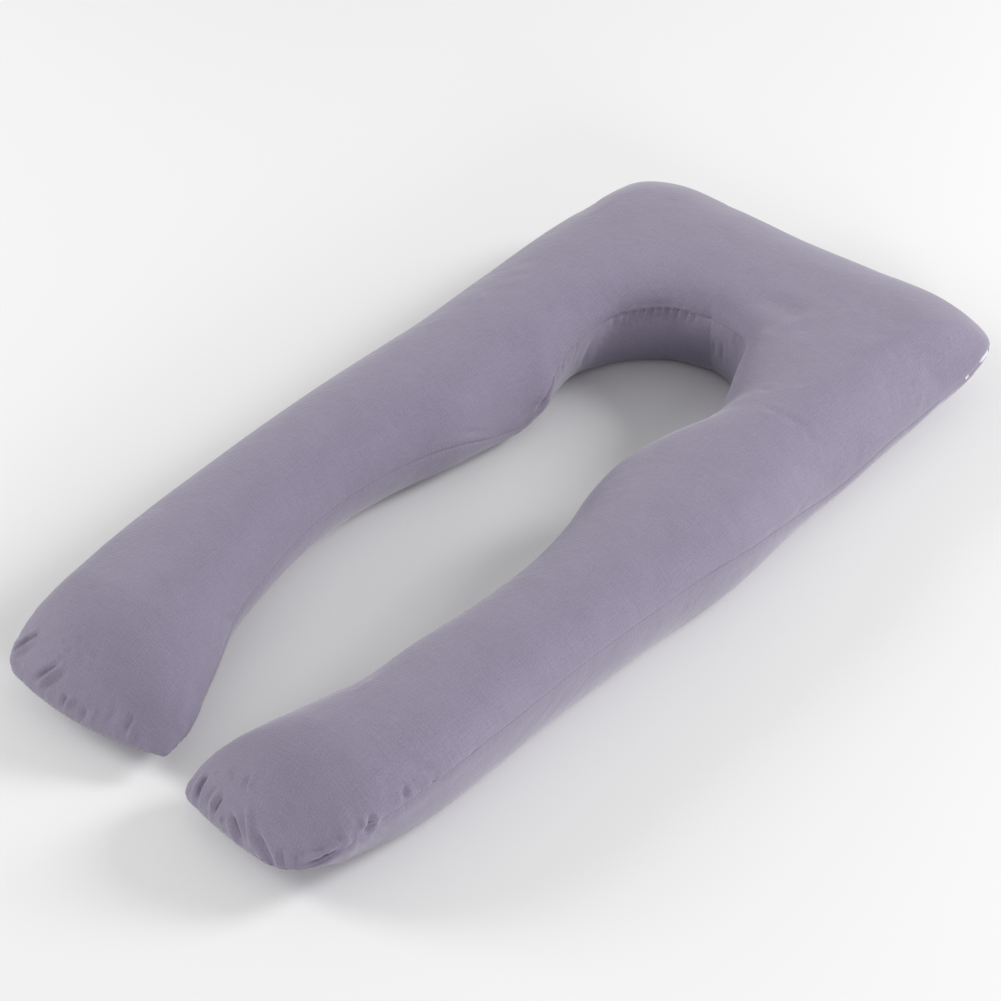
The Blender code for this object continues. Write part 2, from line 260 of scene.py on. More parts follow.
@dataclass
class Stuffing:
    """The form of the filled pillow, before the cloth's own folds.

    Attributes:
        beyond_length: The stretch above the foot over which its corners' reach comes in.
        foot_round: Exponent of the curve over the foot's end.
        foot_round_below: Exponent of the curve under it.
        foot_low: How far in from the foot's end the underside meets what it lies on.
        top_reach: How far in from the seam or the foot's end the top is level.
        top_level: The least share of the half width that is level.
        curve_steps: Points worked out round each side before a row is spaced out anew.
        shifts: Where one leg differs from the table.
    """

    beyond_length: float = 30 * CM
    foot_round: float = 1.6
    foot_round_below: float = 1.2
    foot_low: float = 6.5 * CM
    top_reach: float = 12 * CM
    top_level: float = 0.08
    curve_steps: int = 70
    shifts: tuple[Shift, ...] = SHIFTS

    def __post_init__(self) -> None:
        """Works out how far each section lies along the middle of the stuffing."""
        table = np.array([(s.inner_x + s.outer_x, s.inner_y + s.outer_y) for s in SECTIONS])
        self.knots = lengths_along(table / 2 * CM)
        self.leg_end = float(self.knots[-1])

    def place_of(self, name: str) -> float:
        """How far the named section lies along the middle of the stuffing."""
        return float(self.knots[[section.name for section in SECTIONS].index(name)])

    def column(self, name: str, places: np.ndarray) -> np.ndarray:
        """A column of the table on a smooth curve.

        Args:
            name: The column's name.
            places: Distances along the middle of the stuffing.

        Returns:
            The column's value at each place, in the table's units.
        """
        values = np.array([getattr(section, name) for section in SECTIONS])
        knots = self.knots
        last = len(knots) - 1
        own = np.arange(last + 1)
        before, after = np.clip(own - 1, 0, last), np.clip(own + 1, 0, last)
        slopes = (values[after] - values[before]) / (knots[after] - knots[before])
        k = np.clip(np.searchsorted(knots, places, side="right") - 1, 0, last - 1)
        span = knots[k + 1] - knots[k]
        t = (places - knots[k]) / span
        return (
            (2 * t**3 - 3 * t**2 + 1) * values[k]
            + (t**3 - 2 * t**2 + t) * span * slopes[k]
            + (3 * t**2 - 2 * t**3) * values[k + 1]
            + (t**3 - t**2) * span * slopes[k + 1]
        )

    def shifted(self, name: str, places: np.ndarray, leg: Leg, edge: Edge) -> np.ndarray:
        """How far the shifts move one of a side's measures.

        Args:
            name: The measure's name in a shift, in millimetres.
            places: Distances along the middle of the stuffing.
            leg: The half of the pillow.
            edge: The side of the U.

        Returns:
            The move at each place, in metres.
        """
        total = np.zeros(len(places))
        for shift in self.shifts:
            if shift.leg is leg and shift.edge is edge:
                away = (places - shift.place_cm * CM) / (shift.width_cm * CM)
                total += getattr(shift, name) * MM * np.exp(-(away**2))
        return total

    def seam(self, places: np.ndarray, leg: Leg, edge: Edge) -> np.ndarray:
        """The seam's line on one side of a leg.

        Args:
            places: Distances along the middle of the stuffing.
            leg: The half of the pillow.
            edge: The side of the U.

        Returns:
            A point for each place.
        """
        foot = FEET[leg]
        to_end = self.leg_end - places
        inner = edge is Edge.INNER
        corner = foot.inner_corner if inner else foot.outer_corner
        beyond = foot.inner_beyond if inner else foot.outer_beyond
        x, y, z, sway = (
            self.column(f"{edge.value}_{name}", places) * CM for name in ("x", "y", "seam", "sway")
        )
        into_corner = np.clip(corner - to_end, 0.0, corner)
        inset = corner - np.sqrt(corner**2 - into_corner**2)
        x = x + leg.value * sway + (inset if inner else -inset)
        y = y - beyond * ease(1 - to_end / self.beyond_length)
        line = np.stack((x * leg.value, y, z + self.shifted("upward_mm", places, leg, edge)), axis=1)
        along = np.gradient(line[:, :2], places, axis=0) * (-1 if inner else 1) * leg.value
        outward = unit(np.stack((-along[:, 1], along[:, 0]), axis=1))
        line[:, :2] += outward * self.shifted("outward_mm", places, leg, edge)[:, None]
        return line

    def half_row(
        self,
        places: np.ndarray,
        leg: Leg,
        edge: Edge,
        panel: Panel,
        middle: np.ndarray,
        half_width: np.ndarray,
    ) -> np.ndarray:
        """The curve of a panel from the seam on one side to where it is level.

        Args:
            places: Distances along the middle of the stuffing.
            leg: The half of the pillow.
            edge: The side of the U that the curve starts from.
            panel: The panel.
            middle: The point halfway between the seams at each place.
            half_width: Half of the distance between the seams at each place.

        Returns:
            An array of places by points by three coordinates.
        """
        top = panel is Panel.TOP
        seam = self.seam(places, leg, edge)
        to_end = (self.leg_end - places)[:, None]
        goal = self.column("crown", places)[:, None] * CM if top else np.zeros((len(places), 1))
        end_reach = self.top_reach if top else self.foot_low
        left = np.clip(1 - to_end / end_reach, 0.0, 1.0)
        end_round = self.foot_round if top else self.foot_round_below
        end_share = (1 - left**end_round) ** (1 / end_round)
        near_end = 1 - ease(to_end / end_reach)
        bow = FEET[leg].bow * (1 - ease(to_end / self.top_reach))
        power = 2 / self.column(edge.value + "_round", places)[:, None]
        low = self.column(edge.value + "_low", places) * CM + self.shifted("low_mm", places, leg, edge)
        reach = self.top_reach if top else low
        reach = np.minimum(reach, (1 - self.top_level) * half_width)[:, None]
        turn = np.linspace(0, math.pi / 2, self.curve_steps)[None, :]
        inward = reach * (1 - np.cos(turn).clip(0) ** power)
        to_middle = inward / half_width[:, None]
        points = seam[:, None, :] + (middle - seam)[:, None, :] * to_middle[..., None]
        points[..., 1] -= bow * (1 - (1 - to_middle) ** 2)
        seam_z = seam[:, None, 2]
        rest = seam_z + (points[..., 2] - seam_z) * near_end
        points[..., 2] = rest + (goal - rest) * np.sin(turn) ** power * end_share
        return points

    def rows(self, places: np.ndarray, leg: Leg, panel: Panel, shares: np.ndarray) -> np.ndarray:
        """Rows of points across a panel, from the inner to the outer seam.

        Args:
            places: Distances along the middle of the stuffing.
            leg: The half of the pillow.
            panel: The panel.
            shares: Where the points lie, as shares of the row's own length.

        Returns:
            An array of places by shares by three coordinates.
        """
        inner, outer = (self.seam(places, leg, edge) for edge in Edge)
        middle = (inner + outer) / 2
        half_width = np.linalg.norm(outer - inner, axis=1) / 2
        near, far = (self.half_row(places, leg, edge, panel, middle, half_width) for edge in Edge)
        dense = np.concatenate((near, far[:, ::-1]), axis=1)
        rows = np.empty((len(places), len(shares), 3))
        for k, line in enumerate(dense):
            along = lengths_along(line)
            for axis in range(3):
                rows[k, :, axis] = np.interp(shares * along[-1], along, line[:, axis])
        return rows


class Taper(Enum):
    """How a fold fades along its length."""

    BOTH = "both ends"
    FAR = "far end"


@dataclass(frozen=True)
class Fold:
    """A soft trough in the cloth, with a low swell on each side of it.

    An end is given as its place along the middle of the stuffing from the head end, in
    centimetres, and how far in from the seam it lies along the cloth, in millimetres.

    Attributes:
        leg: The half of the pillow.
        panel: The panel.
        edge: The seam that the distance in is taken from.
        start: The near end.
        end: The far end.
        depth_mm: Depth of the trough, below 0 for a ridge.
        width_mm: Its half width.
        taper: How it fades.
    """

    leg: Leg
    panel: Panel
    edge: Edge
    start: tuple[float, float]
    end: tuple[float, float]
    depth_mm: float
    width_mm: float
    taper: Taper = Taper.BOTH


# The gathers under the seam of the head end's hollow.
HOLLOW_FOLDS = (
    Fold(LEFT, BOTTOM, INNER, (19.0, 3.0), (20.0, 34.0), 1.3, 3.2, Taper.FAR),
    Fold(LEFT, BOTTOM, INNER, (16.8, 2.0), (18.0, 46.0), 2.2, 3.4, Taper.FAR),
    Fold(LEFT, BOTTOM, INNER, (15.4, 2.0), (17.4, 58.0), 4.0, 3.2, Taper.FAR),
    Fold(LEFT, BOTTOM, INNER, (13.9, 1.0), (15.0, 33.0), 5.6, 3.0, Taper.FAR),
    Fold(LEFT, BOTTOM, INNER, (12.4, 1.0), (13.4, 36.0), 6.0, 3.0, Taper.FAR),
    Fold(LEFT, BOTTOM, INNER, (11.0, 1.0), (11.6, 30.0), 5.0, 2.6, Taper.FAR),
    Fold(LEFT, BOTTOM, INNER, (9.6, 2.0), (10.4, 34.0), 5.4, 3.0, Taper.FAR),
    Fold(LEFT, BOTTOM, INNER, (7.7, 1.0), (8.9, 38.0), 5.0, 3.0, Taper.FAR),
    Fold(LEFT, BOTTOM, INNER, (5.5, 2.0), (6.6, 34.0), 4.4, 3.0, Taper.FAR),
    Fold(LEFT, BOTTOM, INNER, (3.6, 4.0), (4.4, 26.0), 2.6, 2.8, Taper.FAR),
    Fold(RIGHT, BOTTOM, INNER, (1.8, 34.0), (0.9, 66.0), 2.2, 3.4),
    Fold(RIGHT, BOTTOM, INNER, (4.8, 22.0), (3.8, 72.0), 1.8, 3.2),
    Fold(RIGHT, BOTTOM, INNER, (9.0, 4.0), (8.6, 30.0), 1.6, 3.4, Taper.FAR),
    Fold(RIGHT, BOTTOM, INNER, (15.0, 3.0), (14.6, 24.0), 1.9, 3.4, Taper.FAR),
    Fold(RIGHT, BOTTOM, INNER, (19.5, 3.0), (19.0, 30.0), 1.9, 3.4, Taper.FAR),
    Fold(LEFT, BOTTOM, INNER, (24.0, 12.0), (29.0, 70.0), 2.6, 6.0),
    Fold(LEFT, BOTTOM, INNER, (30.0, 6.0), (33.0, 30.0), 1.6, 3.4, Taper.FAR),
    Fold(LEFT, BOTTOM, INNER, (36.0, 4.0), (37.5, 26.0), 1.9, 3.4, Taper.FAR),
    Fold(LEFT, TOP, INNER, (38.8, 2.0), (40.5, 16.0), 1.9, 3.0, Taper.FAR),
)

# The right shoulder: a valley and a ridge round the hollow, and a soft arc across the arm.
SHOULDER_FOLDS = (
    Fold(RIGHT, TOP, INNER, (6.0, 52.0), (17.5, 112.0), 2.2, 16.0),
    Fold(RIGHT, TOP, INNER, (15.5, 26.0), (18.0, 80.0), -1.5, 13.0),
    Fold(RIGHT, TOP, INNER, (18.0, 74.0), (16.7, 150.0), -1.4, 10.0),
    Fold(RIGHT, TOP, INNER, (35.6, 90.0), (40.1, 138.0), 1.0, 6.0),
    Fold(RIGHT, TOP, INNER, (45.5, 154.0), (47.7, 196.0), 2.2, 5.0),
    Fold(RIGHT, TOP, INNER, (47.4, 188.0), (48.4, 240.0), 2.5, 5.0),
    Fold(RIGHT, TOP, INNER, (48.3, 230.0), (49.8, 262.0), 1.9, 4.5),
    Fold(RIGHT, TOP, OUTER, (47.5, 27.0), (50.0, 20.0), -1.0, 4.0),
    Fold(RIGHT, TOP, OUTER, (44.0, 40.0), (46.0, 4.0), -1.1, 5.0),
    Fold(RIGHT, TOP, OUTER, (33.5, 42.0), (36.0, 12.0), -1.1, 5.0),
)

# The left leg's bump beside the neck, and the faint pulls across the leg above it.
NECK_FOLDS = (
    Fold(LEFT, TOP, INNER, (40.4, 0.0), (44.6, 1.0), 5.6, 4.4),
    Fold(LEFT, TOP, INNER, (43.6, 0.0), (48.6, 5.0), 5.6, 4.6),
    Fold(LEFT, BOTTOM, INNER, (40.8, 2.0), (47.0, 2.0), 3.6, 4.0),
    Fold(LEFT, TOP, INNER, (41.0, 13.0), (49.0, 17.0), -1.6, 5.0),
    Fold(LEFT, BOTTOM, INNER, (42.0, 14.0), (48.0, 13.0), -2.0, 5.0),
    Fold(LEFT, TOP, INNER, (69.0, 20.0), (62.4, 17.0), 1.6, 4.0),
    Fold(LEFT, BOTTOM, INNER, (38.6, 3.0), (35.4, 17.0), 2.0, 3.2),
    Fold(LEFT, BOTTOM, INNER, (36.4, 6.0), (32.6, 21.0), 2.0, 3.2),
    Fold(LEFT, TOP, OUTER, (51.5, 120.0), (44.0, 190.0), 0.9, 7.2),
    Fold(LEFT, TOP, OUTER, (49.0, 110.0), (41.5, 180.0), 0.8, 6.3),
    Fold(LEFT, TOP, OUTER, (46.0, 105.0), (39.5, 165.0), 0.9, 6.3),
    Fold(LEFT, TOP, OUTER, (52.2, 118.0), (53.4, 132.0), -1.6, 3.6),
    Fold(LEFT, TOP, OUTER, (60.6, 92.0), (62.0, 100.0), -1.7, 3.6),
)

# The right leg's outer side, from the foot up.
OUTER_SIDE_FOLDS = (
    Fold(RIGHT, TOP, OUTER, (138.6, 7.0), (134.3, 4.0), 4.4, 3.2),
    Fold(RIGHT, TOP, OUTER, (138.6, 13.0), (134.4, 11.0), -2.2, 3.2),
    Fold(RIGHT, TOP, OUTER, (130.5, 20.0), (131.2, 0.0), 5.6, 4.2),
    Fold(RIGHT, TOP, OUTER, (132.4, 3.0), (129.8, 5.0), 3.0, 4.0),
    Fold(RIGHT, BOTTOM, OUTER, (131.2, 0.0), (132.0, 12.0), 3.4, 4.0, Taper.FAR),
    Fold(RIGHT, TOP, OUTER, (125.6, 27.0), (126.0, 4.0), 4.0, 3.4),
    Fold(RIGHT, TOP, OUTER, (134.8, 27.0), (134.4, 12.0), 2.6, 3.2),
    Fold(RIGHT, TOP, OUTER, (136.4, 4.0), (136.2, 22.0), 1.8, 3.2, Taper.FAR),
    Fold(RIGHT, TOP, OUTER, (133.4, 4.0), (133.0, 20.0), 1.6, 3.2, Taper.FAR),
    Fold(RIGHT, TOP, OUTER, (127.8, 62.0), (126.0, 48.0), -1.3, 5.1),
    Fold(RIGHT, TOP, OUTER, (124.6, 64.0), (121.0, 54.0), -1.6, 4.2),
    Fold(RIGHT, TOP, OUTER, (124.5, 50.0), (120.0, 2.0), 1.6, 6.0),
    Fold(RIGHT, TOP, OUTER, (121.5, 2.0), (121.0, 16.0), 1.6, 3.4, Taper.FAR),
    Fold(RIGHT, TOP, OUTER, (114.8, 2.0), (114.2, 14.0), 1.8, 3.0, Taper.FAR),
    Fold(RIGHT, TOP, OUTER, (112.2, 58.0), (111.0, 44.0), 1.0, 4.2),
    Fold(RIGHT, TOP, INNER, (118.4, 86.0), (121.6, 106.0), -1.8, 5.1),
    Fold(RIGHT, TOP, OUTER, (58.0, 4.0), (54.5, 22.0), 1.3, 3.4),
)

# The left foot: creases that run in from its corners and a star over its end.
LEFT_FOOT_FOLDS = (
    Fold(LEFT, TOP, INNER, (137.6, 283.0), (136.0, 251.0), 4.6, 3.0),
    Fold(LEFT, TOP, INNER, (138.2, 285.0), (137.0, 268.0), 3.2, 4.4),
    Fold(LEFT, TOP, INNER, (138.6, 284.0), (136.9, 247.0), -4.2, 3.6),
    Fold(LEFT, TOP, INNER, (139.0, 264.0), (138.8, 240.0), 2.2, 4.0),
    Fold(LEFT, TOP, INNER, (136.5, 206.0), (136.0, 202.0), 1.8, 2.6),
    Fold(LEFT, TOP, INNER, (136.3, 198.0), (135.4, 192.0), 1.4, 2.6),
    Fold(LEFT, TOP, INNER, (136.9, 190.0), (136.5, 185.0), 2.4, 3.4),
    Fold(LEFT, TOP, INNER, (136.2, 185.0), (135.0, 187.0), 2.0, 2.6),
    Fold(LEFT, TOP, INNER, (135.9, 162.0), (136.1, 150.0), 2.4, 2.6),
    Fold(LEFT, TOP, INNER, (135.4, 170.0), (135.2, 150.0), -1.2, 2.8),
    Fold(LEFT, TOP, INNER, (136.4, 178.0), (136.9, 160.0), 1.0, 3.0),
    Fold(LEFT, TOP, INNER, (138.6, 204.0), (136.8, 195.0), -2.0, 2.6),
    Fold(LEFT, TOP, INNER, (137.1, 190.0), (137.8, 186.0), -1.6, 2.4),
    Fold(LEFT, TOP, INNER, (137.5, 178.0), (139.7, 203.0), -5.0, 4.0),
    Fold(LEFT, TOP, INNER, (137.8, 192.0), (139.4, 214.0), 3.0, 3.4),
    Fold(LEFT, TOP, INNER, (139.6, 149.0), (138.9, 140.0), -3.0, 3.2),
    Fold(LEFT, TOP, INNER, (139.0, 157.0), (139.8, 149.0), 3.4, 3.2),
    Fold(LEFT, TOP, INNER, (139.8, 114.0), (139.1, 124.0), 3.4, 3.0),
    Fold(LEFT, TOP, INNER, (139.8, 104.0), (138.8, 110.0), -1.8, 3.0),
    Fold(LEFT, TOP, INNER, (139.5, 60.0), (137.8, 69.0), 3.6, 3.0),
    Fold(LEFT, TOP, INNER, (139.7, 48.0), (138.9, 54.0), -2.6, 3.4),
    Fold(LEFT, TOP, INNER, (139.6, 84.0), (138.0, 90.0), 1.4, 4.0),
    Fold(LEFT, TOP, INNER, (121.0, 26.0), (117.5, 2.0), 2.6, 5.5),
    Fold(LEFT, TOP, INNER, (125.5, 22.0), (119.5, 30.0), 1.6, 7.0),
    Fold(LEFT, TOP, INNER, (136.4, 24.0), (130.6, 34.0), -1.4, 7.0),
)

# The right foot: gathers along its end.
RIGHT_FOOT_FOLDS = (
    Fold(RIGHT, TOP, INNER, (137.1, 54.0), (139.8, 25.0), 5.8, 4.4),
    Fold(RIGHT, TOP, INNER, (139.6, 54.0), (137.9, 90.0), -3.6, 4.6),
    Fold(RIGHT, TOP, INNER, (139.8, 57.0), (138.2, 92.0), 2.8, 3.0),
    Fold(RIGHT, TOP, INNER, (139.7, 70.0), (139.2, 86.0), -2.6, 2.6),
    Fold(RIGHT, TOP, INNER, (137.9, 64.0), (137.8, 88.0), -1.6, 2.4),
    Fold(RIGHT, TOP, INNER, (137.2, 63.0), (136.9, 74.0), 1.8, 2.6),
    Fold(RIGHT, TOP, INNER, (137.1, 88.0), (136.0, 107.0), 2.2, 2.6),
    Fold(RIGHT, TOP, INNER, (137.5, 96.0), (136.4, 108.0), 2.0, 2.6),
    Fold(RIGHT, TOP, INNER, (137.6, 123.0), (136.0, 126.0), 2.2, 2.8),
    Fold(RIGHT, TOP, INNER, (137.3, 130.0), (135.6, 137.0), -2.0, 3.0),
    Fold(RIGHT, TOP, INNER, (137.2, 139.0), (136.9, 145.0), -1.6, 2.8),
    Fold(RIGHT, TOP, INNER, (138.9, 100.0), (139.9, 112.0), 6.2, 4.6),
    Fold(RIGHT, TOP, INNER, (137.8, 135.0), (139.8, 135.0), -4.0, 4.6),
    Fold(RIGHT, TOP, INNER, (138.7, 144.0), (139.8, 172.0), 5.6, 4.6),
    Fold(RIGHT, TOP, INNER, (139.4, 188.0), (138.4, 192.0), 2.4, 3.2),
    Fold(RIGHT, TOP, INNER, (139.6, 181.0), (138.8, 182.0), -1.8, 3.0),
    Fold(RIGHT, TOP, INNER, (139.0, 213.0), (137.6, 221.0), 2.6, 3.0),
    Fold(RIGHT, TOP, INNER, (138.4, 230.0), (137.2, 228.0), 1.6, 3.2),
    Fold(RIGHT, TOP, INNER, (137.0, 244.0), (136.0, 262.0), 1.6, 3.0),
    Fold(RIGHT, TOP, INNER, (136.4, 238.0), (135.4, 252.0), -1.3, 3.0),
)
FOLDS = (
    HOLLOW_FOLDS + SHOULDER_FOLDS + NECK_FOLDS + OUTER_SIDE_FOLDS + LEFT_FOOT_FOLDS + RIGHT_FOOT_FOLDS
)


@dataclass(frozen=True)
class Gathers:
    """Small random gathers that run in from the seam.

    Attributes:
        seed: Of the random draws.
        spacing: The mean distance between them along the seam.
        depth: Of the deepest.
        reach: How far in the longest fades out.
        width: Half width of the widest at the seam.
        quiet: Their strength where the seam lies smooth.
        scatter: How far one lies from its even place, as a share of the spacing.
        least_depth: The shallowest's depth, as a share of the deepest's.
        least_reach: The shortest's reach, as a share of the longest's.
        least_width: The narrowest's width, as a share of the widest's.
        lean: How far they lean along the seam, as a share of the way in.
        clear: How far from the seam they come in.
    """

    seed: int = 11
    spacing: float = 10 * MM
    depth: float = 1.5 * MM
    reach: float = 26 * MM
    width: float = 4.2 * MM
    quiet: float = 0.22
    scatter: float = 0.4
    least_depth: float = 0.25
    least_reach: float = 0.35
    least_width: float = 0.5
    lean: float = 0.22
    clear: float = 1.5 * MM


@dataclass(frozen=True)
class Gathered:
    """A stretch of the seam where the gathers are strong.

    Attributes:
        leg: The half of the pillow.
        edge: The side of the U.
        from_cm: Where it starts, along the middle of the stuffing from the head end.
        to_cm: Where it ends.
        top: Strength on the top panel.
        bottom: Strength on the bottom panel.
    """

    leg: Leg
    edge: Edge
    from_cm: float
    to_cm: float
    top: float
    bottom: float


GATHERED = (
    Gathered(LEFT, INNER, 0.0, 26.0, 0.1, 0.9),
    Gathered(RIGHT, INNER, 0.0, 24.0, 0.1, 0.7),
    Gathered(LEFT, INNER, 26.0, 56.0, 0.3, 0.6),
    Gathered(RIGHT, INNER, 24.0, 56.0, 0.3, 0.7),
    Gathered(LEFT, OUTER, 18.0, 34.0, 0.5, 0.9),
    Gathered(RIGHT, OUTER, 18.0, 30.0, 0.5, 0.9),
    Gathered(LEFT, OUTER, 128.0, 141.0, 0.9, 1.0),
    Gathered(LEFT, INNER, 128.0, 141.0, 0.8, 1.0),
    Gathered(RIGHT, OUTER, 120.0, 141.0, 0.8, 1.0),
    Gathered(RIGHT, INNER, 130.0, 141.0, 0.9, 1.0),
)


@dataclass
class Cover:
    """The two sewn panels of the cover as one closed grid.

    Attributes:
        stuffing: The form that the cover is filled to.
        coarseness: How much further apart the stations lie than SPACINGS says.
        foot_stations: Stations that close up on a foot's end.
        top_columns: Faces across the top panel, an even number. The bottom panel has half as many.
        edge_crowding: How much closer the columns lie at the seams than in the middle, from 0 to 1.
        groove_depth: How far the stitches draw the seam in.
        groove_width: How wide the drawn-in line is.
        shoulder_depth: How far the cloth beside the stitches is drawn in with them.
        shoulder_width: How wide that is.
        slack_cm: From where to where the right leg's outer seam lies slack, along the stuffing.
        slack_share: How much of its depth the seam keeps there.
        flat_below: The height under which the cloth lies flat, with no folds.
        flat_blend: The height over which they come in.
    """

    stuffing: Stuffing
    coarseness: float = 1.0
    foot_stations: int = 72
    top_columns: int = 108
    edge_crowding: float = 0.55
    groove_depth: float = 2.2 * MM
    groove_width: float = 2.2 * MM
    shoulder_depth: float = 1.3 * MM
    shoulder_width: float = 9.0 * MM
    slack_cm: tuple[float, float] = (27.0, 118.0)
    slack_share: float = 0.45
    flat_below: float = 1 * MM
    flat_blend: float = 6 * MM

    def __post_init__(self) -> None:
        """Lays out the grid's stations, columns and points."""
        self.places, self.legs = self.stations()
        self.shares = self.column_shares()
        self.points = self.lay_out()
        self.number_points()

    def stations(self) -> tuple[np.ndarray, np.ndarray]:
        """Spaces the stations out along the stuffing.

        Returns:
            Each station's place along the middle of the stuffing, and the sign of its leg.
        """
        stuffing = self.stuffing
        straight = np.linspace(0, stuffing.leg_end - stuffing.top_reach, STATION_STEPS)
        knots, steps = np.array(SPACINGS).T * ((CM,), (MM,))
        density = 1 / (np.interp(straight, knots, steps) * self.coarseness)
        passed = np.concatenate(([0.0], np.cumsum((density[1:] + density[:-1]) / 2 * np.diff(straight))))
        even = np.linspace(0, passed[-1], round(passed[-1]), endpoint=False)
        even = np.interp(even, passed, straight)
        turn = np.linspace(math.pi / 2, 0, self.foot_stations + 1)
        half = np.concatenate((even, stuffing.leg_end - stuffing.top_reach * (1 - np.cos(turn))))
        places = np.concatenate((half[:0:-1], half))
        signs = np.concatenate((np.full(len(half) - 1, -1), np.full(len(half), 1)))
        return places, signs

    def column_shares(self) -> np.ndarray:
        """Where the columns lie across the top panel, as shares of its width."""
        even = np.linspace(0, 1, self.top_columns + 1)
        return even - self.edge_crowding * np.sin(2 * math.pi * even) / (2 * math.pi)

    def lay_out(self) -> np.ndarray:
        """Places every point of the grid.

        Returns:
            An array of stations by places in the ring by three coordinates.
        """
        count = self.top_columns
        rings = []
        for leg in (Leg.LEFT, Leg.RIGHT):
            places = self.places[self.legs == leg.value]
            top = self.stuffing.rows(places, leg, Panel.TOP, self.shares)
            bottom = self.stuffing.rows(places, leg, Panel.BOTTOM, self.shares[::2])
            rings.append(np.concatenate((top, bottom[:, -2:0:-1]), axis=1))
        points = np.concatenate(rings)
        for end in (0, -1):
            points[end, count + 1 :] = points[end, count - 2 : 0 : -2]
        return points - self.table_middle()

    def table_middle(self) -> np.ndarray:
        """Finds the origin, under the middle of the form as the table alone gives it.

        Returns:
            The origin's place in the table's own coordinates.
        """
        plain = Stuffing(shifts=())
        sparse = np.linspace(0, 1, 41)
        rows = [plain.rows(self.places[self.legs == leg.value], leg, Panel.TOP, sparse) for leg in Leg]
        points = np.concatenate(rows)
        low, high = points.min(axis=(0, 1)), points.max(axis=(0, 1))
        return (low + high) / 2 * (1.0, 1.0, 0.0)

    def number_points(self) -> None:
        """Gives each point its number in the mesh. Both panels share a foot's last row."""
        stations, ring = self.points.shape[:2]
        self.numbers = np.arange(stations * ring).reshape(stations, ring)
        count = self.top_columns
        for end in (0, -1):
            self.numbers[end, count + 1 :] = self.numbers[end, count - 2 : 0 : -2]
        used, compact = np.unique(self.numbers, return_inverse=True)
        self.numbers = compact.reshape(stations, ring)
        self.used = used

    def flat_panels(self) -> list[np.ndarray]:
        """Where the columns of the top and the bottom panel lie on the flat cloth, in metres.

        Returns:
            For each panel, an array of stations by columns by two coordinates.
        """
        flats = []
        for number, panel in enumerate(Panel):
            rows = self.points[:, self.panel_columns(panel)]
            steps = np.linalg.norm(np.diff(rows, axis=1), axis=2)
            along = np.concatenate((np.zeros((len(rows), 1)), np.cumsum(steps, axis=1)), axis=1)
            across = unit(rows[:, -1, :2] - rows[:, 0, :2])
            spine = rows[:, rows.shape[1] // 2]
            moves = np.diff(spine, axis=0)
            flat_moves = unit(moves[:, :2]) * np.linalg.norm(moves, axis=1)[:, None]
            middle = spine[0, :2] + np.concatenate((np.zeros((1, 2)), np.cumsum(flat_moves, axis=0)))
            off = along - along[:, -1:] / 2
            flats.append(middle[:, None] + across[:, None] * off[..., None] + PANEL_GAP * number)
        return flats

    def faces(self) -> tuple[list[tuple[int, ...]], np.ndarray]:
        """The grid's faces, with the five-sided ones where the bottom panel meets a foot's last row.

        Returns:
            The faces' point numbers, and where each of their corners lies on the flat cloth.
        """
        n = np.concatenate((self.numbers, self.numbers[:, :1]), axis=1)
        top, bottom = self.flat_panels()
        back = bottom[:, ::-1]
        near = np.concatenate((top[:, :-1], back[:, :-1]), axis=1)
        far = np.concatenate((top[:, 1:], back[:, 1:]), axis=1)
        count = self.top_columns
        found, flats = [], []
        last = len(n) - 2
        for s in range(last + 1):
            first, second = n[s], n[s + 1]
            closing = s in (0, last)
            stop = count if closing else len(first) - 1
            found += list(zip(first[:stop], second[:stop], second[1 : stop + 1], first[1 : stop + 1]))
            corners = (near[s, :stop], near[s + 1, :stop], far[s + 1, :stop], far[s, :stop])
            flats.append(np.stack(corners, axis=1).reshape(-1, 2))
            if not closing:
                continue
            shared, own = (s, s + 1) if s == 0 else (s + 1, s)
            for j in range(count // 2):
                k = count - 2 * j
                face = [n[shared, k], n[shared, k - 1], n[shared, k - 2]]
                face += [n[own, count + j + 1], n[own, count + j]]
                start, end = bottom[shared, k // 2], bottom[shared, k // 2 - 1]
                flat = [start, (start + end) / 2, end, bottom[own, k // 2 - 1], bottom[own, k // 2]]
                found.append(tuple(face[::-1] if s == 0 else face))
                flats.append(np.array(flat[::-1] if s == 0 else flat))
        return found, np.concatenate(flats)

    def seam_loop(self) -> np.ndarray:
        """Follows the seam all round.

        Returns:
            The closed line's points in order, each a station's number and a ring number.
        """
        stations, count = len(self.points), self.top_columns
        up, down = np.arange(stations), np.arange(stations)[::-1]
        across, back = np.arange(1, count), np.arange(1, count)[::-1]
        pairs = [
            np.stack((up, np.zeros_like(up)), 1),
            np.stack((np.full_like(across, stations - 1), across), 1),
            np.stack((down, np.full_like(down, count)), 1),
            np.stack((np.zeros_like(back), back), 1),
        ]
        return np.concatenate(pairs)

    def normals(self) -> np.ndarray:
        """Works out which way the cloth faces.

        Returns:
            The outward direction at each point of the grid.
        """
        along = np.gradient(self.points, axis=0)
        ring = np.roll(self.points, -1, axis=1) - np.roll(self.points, 1, axis=1)
        return unit(np.cross(along, ring))

